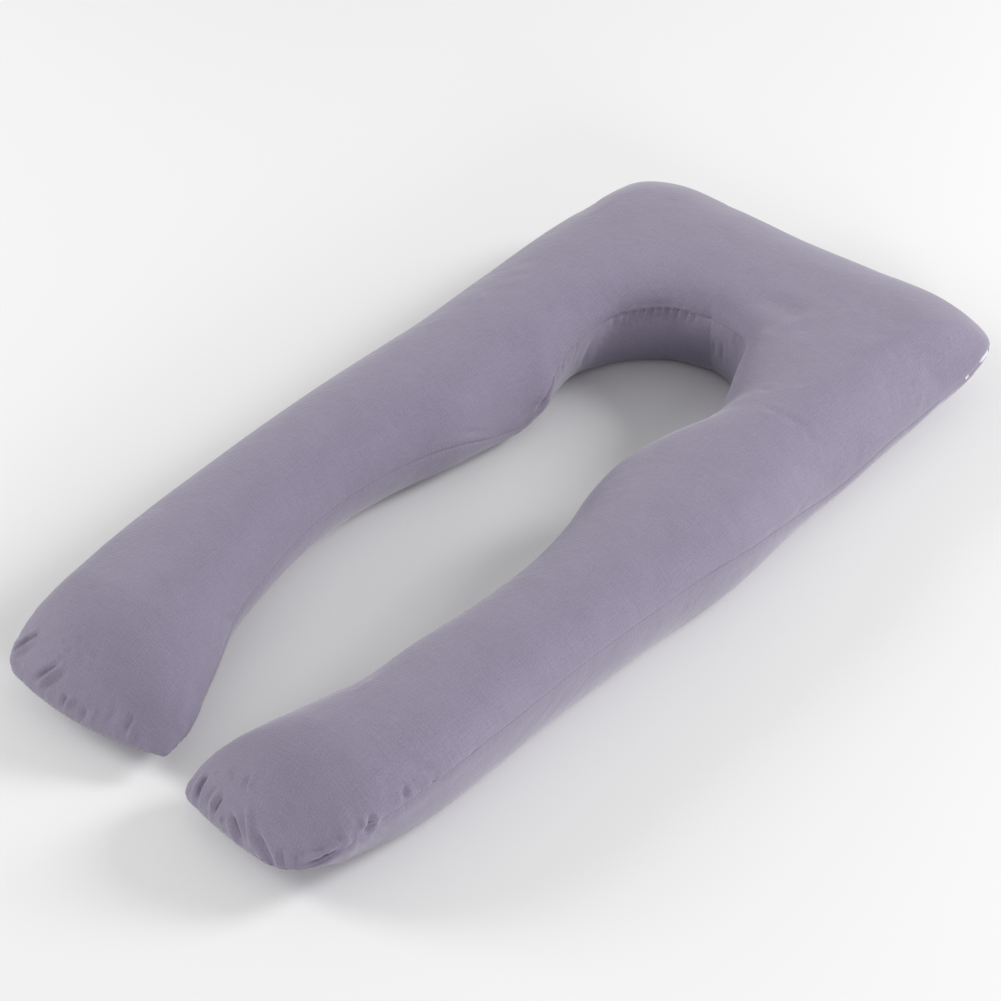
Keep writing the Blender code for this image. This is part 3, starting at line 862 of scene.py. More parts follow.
    def draw_in_seam(self) -> None:
        """Draws the stitch line in, with the cloth beside it."""
        pairs = self.seam_loop()
        line = self.points[pairs[:, 0], pairs[:, 1]]
        tangent = unit(np.roll(line, -1, axis=0) - np.roll(line, 1, axis=0))
        outward = unit(np.cross(tangent, (0.0, 0.0, 1.0)))
        tree = KDTree(len(line))
        for k, point in enumerate(line):
            tree.insert(Vector(point), k)
        tree.balance()
        flat = self.points.reshape(-1, 3)
        found = [tree.find(Vector(point)) for point in flat]
        nearest = np.array([hit[1] for hit in found])
        distance = np.array([hit[2] for hit in found])
        self.seam_distance = distance.reshape(self.points.shape[:2])
        self.seam_nearest = nearest.reshape(self.points.shape[:2])
        places = self.places[pairs[:, 0]] / CM
        slack = between(places, *self.slack_cm, SLACK_BLEND)
        slack *= (pairs[:, 1] > self.top_columns / 2) & (self.legs[pairs[:, 0]] == Leg.RIGHT.value)
        kept = 1 - (1 - self.slack_share) * slack[nearest]
        depth = kept * self.groove_depth * np.exp(-((distance / self.groove_width) ** 2))
        depth += self.shoulder_depth * np.exp(-((distance / self.shoulder_width) ** 2))
        self.points = (flat - outward[nearest] * depth[:, None]).reshape(self.points.shape)

    def panel_columns(self, panel: Panel) -> np.ndarray:
        """Numbers a panel's columns.

        Args:
            panel: The panel.

        Returns:
            Their ring numbers, from the inner to the outer seam.
        """
        count, ring = self.top_columns, self.points.shape[1]
        if panel is Panel.TOP:
            return np.arange(count + 1)
        return np.concatenate(([0], np.arange(ring - 1, count - 1, -1)))

    def on_cloth(self, leg: Leg, panel: Panel, edge: Edge, spots: np.ndarray) -> np.ndarray:
        """Points on the cloth, from where they lie along and across a panel.

        Args:
            leg: The half of the pillow.
            panel: The panel.
            edge: The seam that the distances in are taken from.
            spots: Rows of a place along the middle of the stuffing and a distance in.

        Returns:
            A point for each row.
        """
        own = np.nonzero((self.legs == leg.value) | (self.places == 0))[0]
        own = own[np.argsort(self.places[own])]
        columns = self.panel_columns(panel)
        if edge is Edge.OUTER:
            columns = columns[::-1]
        points = np.empty((len(spots), 3))
        for k, (place, inset) in enumerate(spots):
            after = int(np.clip(np.searchsorted(self.places[own], place), 1, len(own) - 1))
            low, high = own[after - 1], own[after]
            span = self.places[high] - self.places[low]
            share = min(max((place - self.places[low]) / span, 0.0), 1.0)
            row = self.points[low, columns] * (1 - share) + self.points[high, columns] * share
            along = lengths_along(row)
            points[k] = [np.interp(inset, along, row[:, axis]) for axis in range(3)]
        return points

    def fold_moves(self, folds: tuple[Fold, ...]) -> np.ndarray:
        """How far the folds press each point in, below 0 for out.

        Args:
            folds: The folds.

        Returns:
            A distance for each point of the grid.
        """
        flat = self.points.reshape(-1, 3)
        total = np.zeros(len(flat))
        share = np.linspace(0, 1, FOLD_PIECES + 1)
        for fold in folds:
            ends = np.array((fold.start, fold.end)) * (CM, MM)
            spots = ends[0] + (ends[1] - ends[0]) * share[:, None]
            line = self.on_cloth(fold.leg, fold.panel, fold.edge, spots)
            width = fold.width_mm * MM
            reach = FOLD_REACH * width
            near = np.all((flat > line.min(axis=0) - reach) & (flat < line.max(axis=0) + reach), axis=1)
            near = np.nonzero(near)[0]
            best = np.full(len(near), np.inf)
            place = np.zeros(len(near))
            for k, (a, b) in enumerate(zip(line, line[1:])):
                along = b - a
                t = np.clip((flat[near] - a) @ along / max(along @ along, 1e-12), 0, 1)
                away = np.linalg.norm(flat[near] - a - t[:, None] * along, axis=1)
                closer = away < best
                best[closer] = away[closer]
                place[closer] = ((k + t) / FOLD_PIECES)[closer]
            if fold.taper is Taper.BOTH:
                strength = ease(np.minimum(place, 1 - place) * FOLD_FADE)
            else:
                strength = 1 - ease(place)
            swell = FOLD_SWELL * np.exp(-((best / width - FOLD_SWELL_AT) ** 2))
            total[near] += fold.depth_mm * MM * strength * (np.exp(-((best / width) ** 2)) - swell)
        return total.reshape(self.points.shape[:2])

    def gather_moves(self, gathers: Gathers) -> np.ndarray:
        """How far the small gathers beside the seam press each point in.

        Args:
            gathers: Their sizes.

        Returns:
            A distance for each point of the grid.
        """
        pairs = self.seam_loop()
        line = self.points[pairs[:, 0], pairs[:, 1]]
        along = lengths_along(np.concatenate((line, line[:1])))
        own = along[self.seam_nearest]
        rng = np.random.default_rng(gathers.seed)
        total = np.zeros(own.shape)
        count = self.top_columns
        for panel, columns in ((Panel.TOP, slice(0, count + 1)), (Panel.BOTTOM, slice(count + 1, None))):
            strengths = self.gather_strengths(panel, pairs, gathers.quiet)
            number = round(along[-1] / gathers.spacing)
            off_even = rng.uniform(-gathers.scatter, gathers.scatter, number)
            middles = (np.arange(number) + off_even) * gathers.spacing
            depths = rng.uniform(gathers.least_depth, 1.0, number) * gathers.depth
            reaches = rng.uniform(gathers.least_reach, 1.0, number) * gathers.reach
            widths = rng.uniform(gathers.least_width, 1.0, number) * gathers.width
            leans = rng.normal(0.0, gathers.lean, number)
            flat_along, flat_away = own[:, columns], self.seam_distance[:, columns]
            for middle, depth, reach, width, lean in zip(middles, depths, reaches, widths, leans):
                near = (np.abs(flat_along - middle) < 10 * width) & (flat_away < 3.2 * reach)
                away = flat_away[near]
                spread = width * (1 + away / reach)
                off = (flat_along[near] - middle - lean * away) / spread
                strength = np.interp(middle, along[:-1], strengths)
                fade = np.exp(-away / reach) * (1 - np.exp(-away / gathers.clear))
                total[:, columns][near] += depth * strength * np.exp(-(off**2)) * fade
        return total

    def gather_strengths(self, panel: Panel, pairs: np.ndarray, quiet: float) -> np.ndarray:
        """How strong the gathers are along the seam's line.

        Args:
            panel: The panel.
            pairs: The seam's line, as station and ring numbers.
            quiet: The strength where nothing gathers it.

        Returns:
            A strength for each point of the line.
        """
        places, legs = self.places[pairs[:, 0]], self.legs[pairs[:, 0]]
        outer = pairs[:, 1] > self.top_columns / 2
        strengths = np.full(len(pairs), quiet)
        for part in GATHERED:
            side = outer if part.edge is Edge.OUTER else ~outer
            blend = between(places / CM, part.from_cm, part.to_cm, GATHERED_BLEND)
            own = blend * (side & (legs == part.leg.value)) * getattr(part, panel.value)
            strengths = np.maximum(strengths, own)
        return strengths

    def shape_cloth(self) -> None:
        """Draws the seam in and lays the folds and gathers into the cloth."""
        self.draw_in_seam()
        inward = self.fold_moves(FOLDS) + self.gather_moves(Gathers())
        inward -= Settling().unevenness(self)
        low = ease((self.points[..., 2] - self.flat_below) / self.flat_blend)
        self.points = self.points - self.normals() * (inward * low)[..., None]
        self.points[..., 2] = np.maximum(self.points[..., 2], 0.0)

    def build(self, name: str, finish: bpy.types.Material) -> bpy.types.Object:
        """Makes the cover's mesh object.

        Args:
            name: The object's name.
            finish: The cloth's material.

        Returns:
            The object, which stands at the origin.
        """
        mesh = bpy.data.meshes.new(name)
        flat = self.points.reshape(-1, 3)[self.used]
        faces, weave = self.faces()
        mesh.from_pydata(flat.tolist(), [], [tuple(map(int, face)) for face in faces])
        mesh.update()
        mesh.uv_layers.new(name=WEAVE_MAP).data.foreach_set("uv", weave.astype(np.float32).ravel())
        mesh.shade_smooth()
        mesh.materials.append(finish)
        piece = bpy.data.objects.new(name, mesh)
        bpy.context.scene.collection.objects.link(piece)
        return piece


@dataclass(frozen=True)
class Settling:
    """A cloth simulation of the filled cover on a coarse grid. It gives the cloth its unevenness.

    Attributes:
        start_inside: How far inside its place the cloth starts, away from the seam.
        pressure: Of the filling.
        frames: How long it swells.
        hold: How firmly each point is held, where the seam and the floor hold it fully.
        shrinkage: How much the cloth beside the seam is gathered.
        gathered_reach: How far in from the seam that fades out.
        smoothing: How often the movement is smoothed to find its wide part, which is taken out.
        cap: The most that a point moves.
        coarseness: How much further apart its stations lie than the cover's own.
        foot_stations: Its stations that close up on a foot's end.
        top_columns: Its faces across the top panel.
        seam_reach: How near the seam a point is held fully.
        floor_reach: How near what the pillow lies on a point is held fully.
        inside_reach: How far from the seam the cloth comes to start inside its place.
    """

    start_inside: float = 3 * MM
    pressure: float = 4.0
    frames: int = 20
    hold: float = 0.12
    shrinkage: float = 0.035
    gathered_reach: float = 5 * CM
    smoothing: int = 40
    cap: float = 1.3 * MM
    coarseness: float = 2.0
    foot_stations: int = 28
    top_columns: int = 56
    seam_reach: float = 0.5 * MM
    floor_reach: float = 2 * MM
    inside_reach: float = 2 * CM

    def cloth(self, piece: bpy.types.Object) -> None:
        """Gives the piece its cloth modifier.

        Args:
            piece: The coarse cover's object.
        """
        modifier = piece.modifiers.new("cloth", "CLOTH")
        modifier.collision_settings.use_collision = False
        modifier.point_cache.frame_start = 1
        modifier.point_cache.frame_end = self.frames
        cloth = modifier.settings
        cloth.quality = 6
        cloth.mass = 0.25
        cloth.tension_stiffness = 160.0
        cloth.compression_stiffness = 160.0
        cloth.shear_stiffness = 40.0
        cloth.bending_stiffness = 0.02
        cloth.air_damping = 4.0
        cloth.use_pressure = True
        cloth.uniform_pressure_force = self.pressure
        cloth.vertex_group_mass = "held"
        cloth.vertex_group_shrink = "gathered"
        cloth.shrink_min = 0.0
        cloth.shrink_max = -self.shrinkage
        cloth.effector_weights.gravity = 0.0

    def swell(self, coarse: Cover, piece: bpy.types.Object) -> np.ndarray:
        """Lets the filling swell the coarse cover.

        Args:
            coarse: The coarse cover's grid.
            piece: Its object.

        Returns:
            Each point's place at the end.
        """
        away = coarse.seam_distance.reshape(-1)[coarse.used]
        rests = coarse.points[..., 2].reshape(-1)[coarse.used] < self.floor_reach
        held = np.where((away < self.seam_reach) | rests, 1.0, self.hold)
        gathered = np.exp(-((away / self.gathered_reach) ** 2))
        for name, weights in (("held", held), ("gathered", gathered)):
            group = piece.vertex_groups.new(name=name)
            for number, weight in enumerate(weights):
                group.add([number], float(weight), "REPLACE")
        self.cloth(piece)
        for number in range(1, self.frames + 1):
            bpy.context.scene.frame_set(number)
        graph = bpy.context.evaluated_depsgraph_get()
        settled = piece.evaluated_get(graph).data
        places = np.empty(len(settled.vertices) * 3, dtype=np.float32)
        settled.vertices.foreach_get("co", places)
        bpy.context.scene.frame_set(1)
        return places.reshape(-1, 3).astype(float)

    def unevenness(self, fine: Cover) -> np.ndarray:
        """How far out the settled cloth lies at each point of the fine grid.

        Args:
            fine: The cover's own grid.

        Returns:
            A distance for each point, within the cap.
        """
        coarse = Cover(fine.stuffing, self.coarseness, self.foot_stations, self.top_columns)
        coarse.draw_in_seam()
        normals, goal = coarse.normals(), coarse.points.copy()
        inside = self.start_inside * (1 - np.exp(-((coarse.seam_distance / self.inside_reach) ** 2)))
        inside = np.where(goal[..., 2] < self.floor_reach, 0.0, inside)
        coarse.points = goal - normals * inside[..., None]
        piece = coarse.build("settling_cover", bpy.data.materials.new("settling"))
        moved = self.swell(coarse, piece) - goal.reshape(-1, 3)[coarse.used]
        bpy.data.objects.remove(piece, do_unlink=True)
        moved = np.sum(moved[coarse.numbers] * normals, axis=2)
        wide = moved
        for _ in range(self.smoothing):
            wide = (wide + np.roll(wide, 1, axis=1) + np.roll(wide, -1, axis=1)) / 3
            edged = np.concatenate((wide[:1], wide, wide[-1:]))
            wide = (edged[:-2] + edged[1:-1] + edged[2:]) / 3
        return self.on_fine_grid(coarse, fine, self.cap * np.tanh((moved - wide) / self.cap))

    def on_fine_grid(self, coarse: Cover, fine: Cover, values: np.ndarray) -> np.ndarray:
        """Carries values from the coarse grid over to the fine one.

        Args:
            coarse: The coarse cover.
            fine: The fine cover.
            values: A value for each point of the coarse grid.

        Returns:
            A value for each point of the fine grid.
        """
        closed = np.concatenate((values, values[:, :1]), axis=1)
        turns = []
        for cover in (coarse, fine):
            top = np.linspace(0, 1, cover.top_columns + 1)
            bottom = np.linspace(1, 2, cover.top_columns // 2 + 1)
            turns.append(np.concatenate((top, bottom[1:])))
        across = np.array([np.interp(turns[1][:-1], turns[0], row) for row in closed])
        places = [c.places * c.legs for c in (coarse, fine)]
        return np.stack([np.interp(places[1], places[0], column) for column in across.T], axis=1)


Value = float | tuple[float, ...] | bpy.types.NodeSocket


@dataclass(frozen=True)
class Nodes:
    """Adds nodes to a tree.

    Attributes:
        tree: The node tree.
    """

    tree: bpy.types.NodeTree

    def add(
        self,
        kind: str,
        inputs: dict[str | int, Value] | None = None,
        settings: dict[str, str] | None = None,
    ) -> bpy.types.Node:
        """Adds a node.

        Args:
            kind: Its type.
            inputs: By a socket's name or number, its value or the socket that it is linked to.
            settings: Its properties.

        Returns:
            The node.
        """
        node = self.tree.nodes.new(kind)
        for name, value in (settings or {}).items():
            setattr(node, name, value)
        for name, value in (inputs or {}).items():
            if isinstance(value, bpy.types.NodeSocket):
                self.tree.links.new(value, node.inputs[name])
            else:
                node.inputs[name].default_value = value
        return node

    def math(self, operation: str, first: Value, second: Value = 0.0) -> bpy.types.NodeSocket:
        """The result of a sum of two numbers.

        Args:
            operation: The sum, such as MULTIPLY.
            first: The first number.
            second: The second number.

        Returns:
            The result's socket.
        """
        return self.add("ShaderNodeMath", {0: first, 1: second}, {"operation": operation}).outputs[0]

    def noise(
        self, where: bpy.types.NodeSocket, stretch: tuple[float, ...], detail: float
    ) -> bpy.types.NodeSocket:
        """Noise about 0 whose grains are 1 / stretch metres across.

        Args:
            where: The coordinates' socket.
            stretch: Grains to the metre, along each axis.
            detail: How many finer layers are added.

        Returns:
            The noise's socket.
        """
        scaled = self.add("ShaderNodeVectorMath", {0: where, 1: stretch}, {"operation": "MULTIPLY"})
        inputs = {"Vector": scaled.outputs[0], "Scale": 1.0, "Detail": detail, "Roughness": 0.55}
        noise = self.add("ShaderNodeTexNoise", inputs, {"noise_dimensions": "2D"})
        return self.math("SUBTRACT", noise.outputs["Fac"], 0.5)


@dataclass(frozen=True)
class Cotton:
    """Plain dusty lavender-grey cotton, woven from uneven thread and creased a little by use.

    Attributes:
        colour: The dyed thread.
        roughness: Of the surface.
        sheen: Of the loose fibres.
        threads_per_metre: Across the cloth, either way.
        thread_height: How far the threads stand out.
        crease_height: How high the small creases are.
        streak: How much lighter or darker a run of uneven thread is.
        mottle: How much lighter or darker the dye is from place to place.
        grain: The same from thread to thread.
    """

    colour: tuple[float, float, float] = (0.214, 0.189, 0.261)
    roughness: float = 0.88
    sheen: float = 0.35
    threads_per_metre: float = 1250.0
    thread_height: float = 0.07 * MM
    crease_height: float = 0.9 * MM
    streak: float = 0.14
    mottle: float = 0.12
    grain: float = 0.42

    def material(self) -> bpy.types.Material:
        """Makes the cloth's material.

        Returns:
            The material, which reads the piece's own flat-cloth map.
        """
        made = bpy.data.materials.new("cotton")
        made.use_nodes = True
        nodes = Nodes(made.node_tree)
        shader = made.node_tree.nodes["Principled BSDF"]
        where = nodes.add("ShaderNodeUVMap", settings={"uv_map": WEAVE_MAP}).outputs[0]
        parts = (
            (self.streak, nodes.noise(where, (560.0, 34.0, 1.0), 1.0)),
            (self.streak, nodes.noise(where, (26.0, 480.0, 1.0), 1.0)),
            (self.mottle, nodes.noise(where, (16.0, 16.0, 1.0), 3.0)),
            (self.grain, nodes.noise(where, (480.0, 480.0, 1.0), 2.0)),
        )
        tone = 1.0
        for strength, noise in parts:
            tone = nodes.math("ADD", tone, nodes.math("MULTIPLY", noise, strength))
        dyed = {0: self.colour, "Scale": tone}
        colour = nodes.add("ShaderNodeVectorMath", dyed, {"operation": "SCALE"})
        made.node_tree.links.new(colour.outputs[0], shader.inputs["Base Color"])
        made.node_tree.links.new(self.bump(nodes, where), shader.inputs["Normal"])
        shader.inputs["Roughness"].default_value = self.roughness
        shader.inputs["Sheen Weight"].default_value = self.sheen
        shader.inputs["Sheen Roughness"].default_value = 0.45
        return made

    def bump(self, nodes: Nodes, where: bpy.types.NodeSocket) -> bpy.types.NodeSocket:
        """The small creases with the threads over them.

        Args:
            nodes: The material's nodes.
            where: The coordinates' socket.

        Returns:
            The bent normal's socket.
        """
        wide = nodes.noise(where, (38.0, 30.0, 1.0), 4.0)
        wide = nodes.math("MULTIPLY", wide, self.crease_height)
        lean = nodes.add("ShaderNodeVectorRotate", {"Vector": where, "Angle": 0.7}).outputs[0]
        long = nodes.noise(lean, (150.0, 26.0, 1.0), 2.0)
        long = nodes.math("MULTIPLY", long, self.crease_height * 0.4)
        threads = 0.0
        for axis in ("X", "Y"):
            inputs = {"Vector": where, "Scale": self.threads_per_metre / 20.0, "Distortion": 0.0}
            bands = {"bands_direction": axis, "wave_profile": "SIN"}
            wave = nodes.add("ShaderNodeTexWave", inputs, bands).outputs["Fac"]
            threads = nodes.math("ADD", threads, nodes.math("MULTIPLY", wave, self.thread_height))
        height = nodes.math("ADD", nodes.math("ADD", wide, long), threads)
        bump = nodes.add("ShaderNodeBump", {"Height": height, "Strength": 1.0, "Distance": 1.0})
        return bump.outputs["Normal"]


@dataclass(frozen=True)
class ThreadFinish:
    """A plain finish for small sewn-in things: the seam's thread, or the zip's white nylon.

    Attributes:
        name: The material's name.
        colour: Its colour and cover.
        roughness: Of its surface.
    """

    name: str
    colour: tuple[float, float, float, float]
    roughness: float

    def material(self) -> bpy.types.Material:
        """Makes the finish's material.

        Returns:
            The material.
        """
        made = bpy.data.materials.new(self.name)
        made.use_nodes = True
        shader = made.node_tree.nodes["Principled BSDF"]
        shader.inputs["Base Color"].default_value = self.colour
        shader.inputs["Roughness"].default_value = self.roughness
        return made


SEAM_THREAD = ThreadFinish("seam_thread", (0.17, 0.15, 0.21, 1.0), 0.8)
ZIP_NYLON = ThreadFinish("zip_nylon", (0.82, 0.81, 0.86, 1.0), 0.45)
ZIP_TAPE = ThreadFinish("zip_tape", (0.7, 0.69, 0.75, 1.0), 0.85)


@dataclass(frozen=True)
class Rods:
    """Geometry Nodes that set short rods across a line, such as stitches or a zip's teeth.

    Attributes:
        pitch: From rod to rod along the line.
        radius: Of a rod.
        length: Of a rod, across the line.
        flatness: Its size along the line as a share of its size outward.
        lean: How far the rods lean along the line, to one side and the other in turn, in radians.
        scatter: How far the lean and the length vary at random.
        sides: Faces round a rod.
        seed: Of the random draws.
    """

    pitch: float
    radius: float
    length: float
    flatness: float = 1.0
    lean: float = 0.0
    scatter: float = 0.0
    sides: int = 5
    seed: int = 3

    def tree(self, name: str) -> bpy.types.NodeTree:
        """The node tree, with its inputs by name.

        Args:
            name: The tree's name.

        Returns:
            The tree.
        """
        tree = bpy.data.node_groups.new(name, "GeometryNodeTree")
        tree.interface.new_socket("Line", in_out="INPUT", socket_type="NodeSocketGeometry")
        for label in ("Pitch", "Radius", "Length", "Flatness", "Lean", "Scatter"):
            tree.interface.new_socket(label, in_out="INPUT", socket_type="NodeSocketFloat")
        for label in ("Sides", "Seed"):
            tree.interface.new_socket(label, in_out="INPUT", socket_type="NodeSocketInt")
        tree.interface.new_socket("Finish", in_out="INPUT", socket_type="NodeSocketMaterial")
        tree.interface.new_socket("Rods", in_out="OUTPUT", socket_type="NodeSocketGeometry")
        nodes = Nodes(tree)
        given = nodes.add("NodeGroupInput").outputs
        curve = nodes.add("GeometryNodeMeshToCurve", {"Mesh": given["Line"]}).outputs[0]
        spaced = nodes.add(
            "GeometryNodeResampleCurve", {"Curve": curve, "Length": given["Pitch"]}, {"mode": "LENGTH"}
        ).outputs[0]
        rod = nodes.add(
            "GeometryNodeMeshCylinder",
            {"Vertices": given["Sides"], "Radius": given["Radius"], "Depth": given["Length"]},
        ).outputs["Mesh"]
        size = nodes.add(
            "ShaderNodeCombineXYZ", {"X": given["Flatness"], "Y": 1.0, "Z": self.varied(nodes, given)}
        ).outputs[0]
        turn = self.turned(nodes, given)
        placed = nodes.add(
            "GeometryNodeInstanceOnPoints",
            {"Points": spaced, "Instance": rod, "Rotation": turn, "Scale": size},
        ).outputs[0]
        real = nodes.add("GeometryNodeRealizeInstances", {"Geometry": placed}).outputs[0]
        done = nodes.add(
            "GeometryNodeSetMaterial", {"Geometry": real, "Material": given["Finish"]}
        ).outputs[0]
        nodes.add("NodeGroupOutput", {"Rods": done})
        return tree

    def draw(
        self, nodes: Nodes, given: bpy.types.bpy_prop_collection, low: Value, high: Value
    ) -> Value:
        """Draws a random number for each rod.

        Args:
            nodes: The tree's nodes.
            given: The tree's inputs.
            low: The least.
            high: The most.

        Returns:
            The number's socket.
        """
        drawn = nodes.add("FunctionNodeRandomValue", settings={"data_type": "FLOAT"})
        for label, value in (("Min", low), ("Max", high), ("Seed", given["Seed"])):
            socket = next(s for s in drawn.inputs if s.name == label and s.enabled)
            if isinstance(value, bpy.types.NodeSocket):
                nodes.tree.links.new(value, socket)
            else:
                socket.default_value = value
        return next(s for s in drawn.outputs if s.enabled)

    def varied(self, nodes: Nodes, given: bpy.types.bpy_prop_collection) -> Value:
        """The share of its length that each rod has."""
        return self.draw(nodes, given, nodes.math("SUBTRACT", 1.0, given["Scatter"]), 1.0)

    def turned(self, nodes: Nodes, given: bpy.types.bpy_prop_collection) -> Value:
        """Turns each rod across the line, its flat side outward and leaning in turn.

        Args:
            nodes: The tree's nodes.
            given: The tree's inputs.

        Returns:
            The turn's socket.
        """
        kind = {"data_type": "FLOAT_VECTOR"}
        vectors = [
            nodes.add("GeometryNodeInputNamedAttribute", {"Name": name}, kind).outputs[0]
            for name in ("across", "outward")
        ]
        upright = nodes.add(
            "FunctionNodeAlignRotationToVector", {"Vector": vectors[0]}, {"axis": "Z"}
        ).outputs[0]
        faced = nodes.add(
            "FunctionNodeAlignRotationToVector",
            {"Rotation": upright, "Vector": vectors[1]},
            {"axis": "Y", "pivot_axis": "Z"},
        ).outputs[0]
        odd = nodes.math("MODULO", nodes.add("GeometryNodeInputIndex").outputs[0], 2.0)
        side = nodes.math("SUBTRACT", nodes.math("MULTIPLY", odd, 2.0), 1.0)
        swing = self.draw(nodes, given, nodes.math("MULTIPLY", given["Scatter"], -1.0), given["Scatter"])
        angle = nodes.math("ADD", nodes.math("MULTIPLY", side, given["Lean"]), swing)
        tilt = nodes.add(
            "FunctionNodeAxisAngleToRotation", {"Axis": (0.0, 1.0, 0.0), "Angle": angle}
        ).outputs[0]
        return nodes.add(
            "FunctionNodeRotateRotation",
            {"Rotation": faced, "Rotate By": tilt},
            {"rotation_space": "LOCAL"},
        ).outputs[0]

    def build(
        self,
        name: str,
        line: np.ndarray,
        across: np.ndarray,
        outward: np.ndarray,
        finish: bpy.types.Material,
    ) -> bpy.types.Object:
        """Sets the rods along a line as one plain mesh.

        Args:
            name: The object's name.
            line: The line's points.
            across: The direction that a rod lies in at each of them.
            outward: The direction that its flat side faces there.
            finish: The rods' material.

        Returns:
            The object, which stands at the origin.
        """
        guide = bpy.data.meshes.new(name + "_line")
        guide.from_pydata(line.tolist(), [(k, k + 1) for k in range(len(line) - 1)], [])
        for label, values in (("across", across), ("outward", outward)):
            attribute = guide.attributes.new(label, "FLOAT_VECTOR", "POINT")
            attribute.data.foreach_set("vector", values.ravel())
        source = bpy.data.objects.new(name + "_line", guide)
        bpy.context.scene.collection.objects.link(source)
        modifier = source.modifiers.new("rods", "NODES")
        modifier.node_group = self.tree(name + "_rods")
        values = {
            "Pitch": self.pitch,
            "Radius": self.radius,
            "Length": self.length,
            "Flatness": self.flatness,
            "Lean": self.lean,
            "Scatter": self.scatter,
            "Sides": self.sides,
            "Seed": self.seed,
            "Finish": finish,
        }
        for socket in modifier.node_group.interface.items_tree:
            if socket.in_out == "INPUT" and socket.name in values:
                modifier[socket.identifier] = values[socket.name]
        graph = bpy.context.evaluated_depsgraph_get()
        mesh = bpy.data.meshes.new_from_object(source.evaluated_get(graph))
        bpy.data.objects.remove(source, do_unlink=True)
        mesh.name = name
        piece = bpy.data.objects.new(name, mesh)
        bpy.context.scene.collection.objects.link(piece)
        return piece


@dataclass(frozen=True)
class SeamStitches:
    """The thread that shows deep in the seam between the panels.

    Attributes:
        rods: The stitches' sizes.
        above: How far a stitch's middle lies above the bottom of the seam.
    """

    rods: Rods = Rods(pitch=3.2 * MM, radius=0.35 * MM, length=2.0 * MM, lean=0.35, scatter=0.15)
    above: float = 0.1 * MM

    def build(self, cover: Cover, zip_places: tuple[float, float]) -> bpy.types.Object:
        """Sews the seam all round, but for the stretch that the zip takes up.

        Args:
            cover: The finished cover's grid.
            zip_places: Where the zip starts and ends.

        Returns:
            The stitches as one object.
        """
        pairs = cover.seam_loop()
        places, legs = cover.places[pairs[:, 0]], cover.legs[pairs[:, 0]]
        outer = (pairs[:, 1] == cover.top_columns) & (legs == Leg.RIGHT.value)
        zipped = outer & (places > zip_places[0]) & (places < zip_places[1])
        after = int(np.nonzero(zipped)[0][-1]) + 1
        order = np.roll(np.arange(len(pairs)), -after)[: len(pairs) - int(zipped.sum())]
        line = cover.points[pairs[order, 0], pairs[order, 1]]
        outward = cover.normals()[pairs[order, 0], pairs[order, 1]]
        across = unit(np.cross(outward, unit(np.gradient(line, axis=0))))
        finish = SEAM_THREAD.material()
        return self.rods.build("seam_stitches", line + outward * self.above, across, outward, finish)


@dataclass(frozen=True)
class Peek:
    """A place where the seam gapes and the zip shows.

    Attributes:
        place_cm: Its middle, along the middle of the stuffing from the head end.
        half_cm: Half of its length.
        out_mm: How far out of its bed the zip comes there.
    """

    place_cm: float
    half_cm: float
    out_mm: float


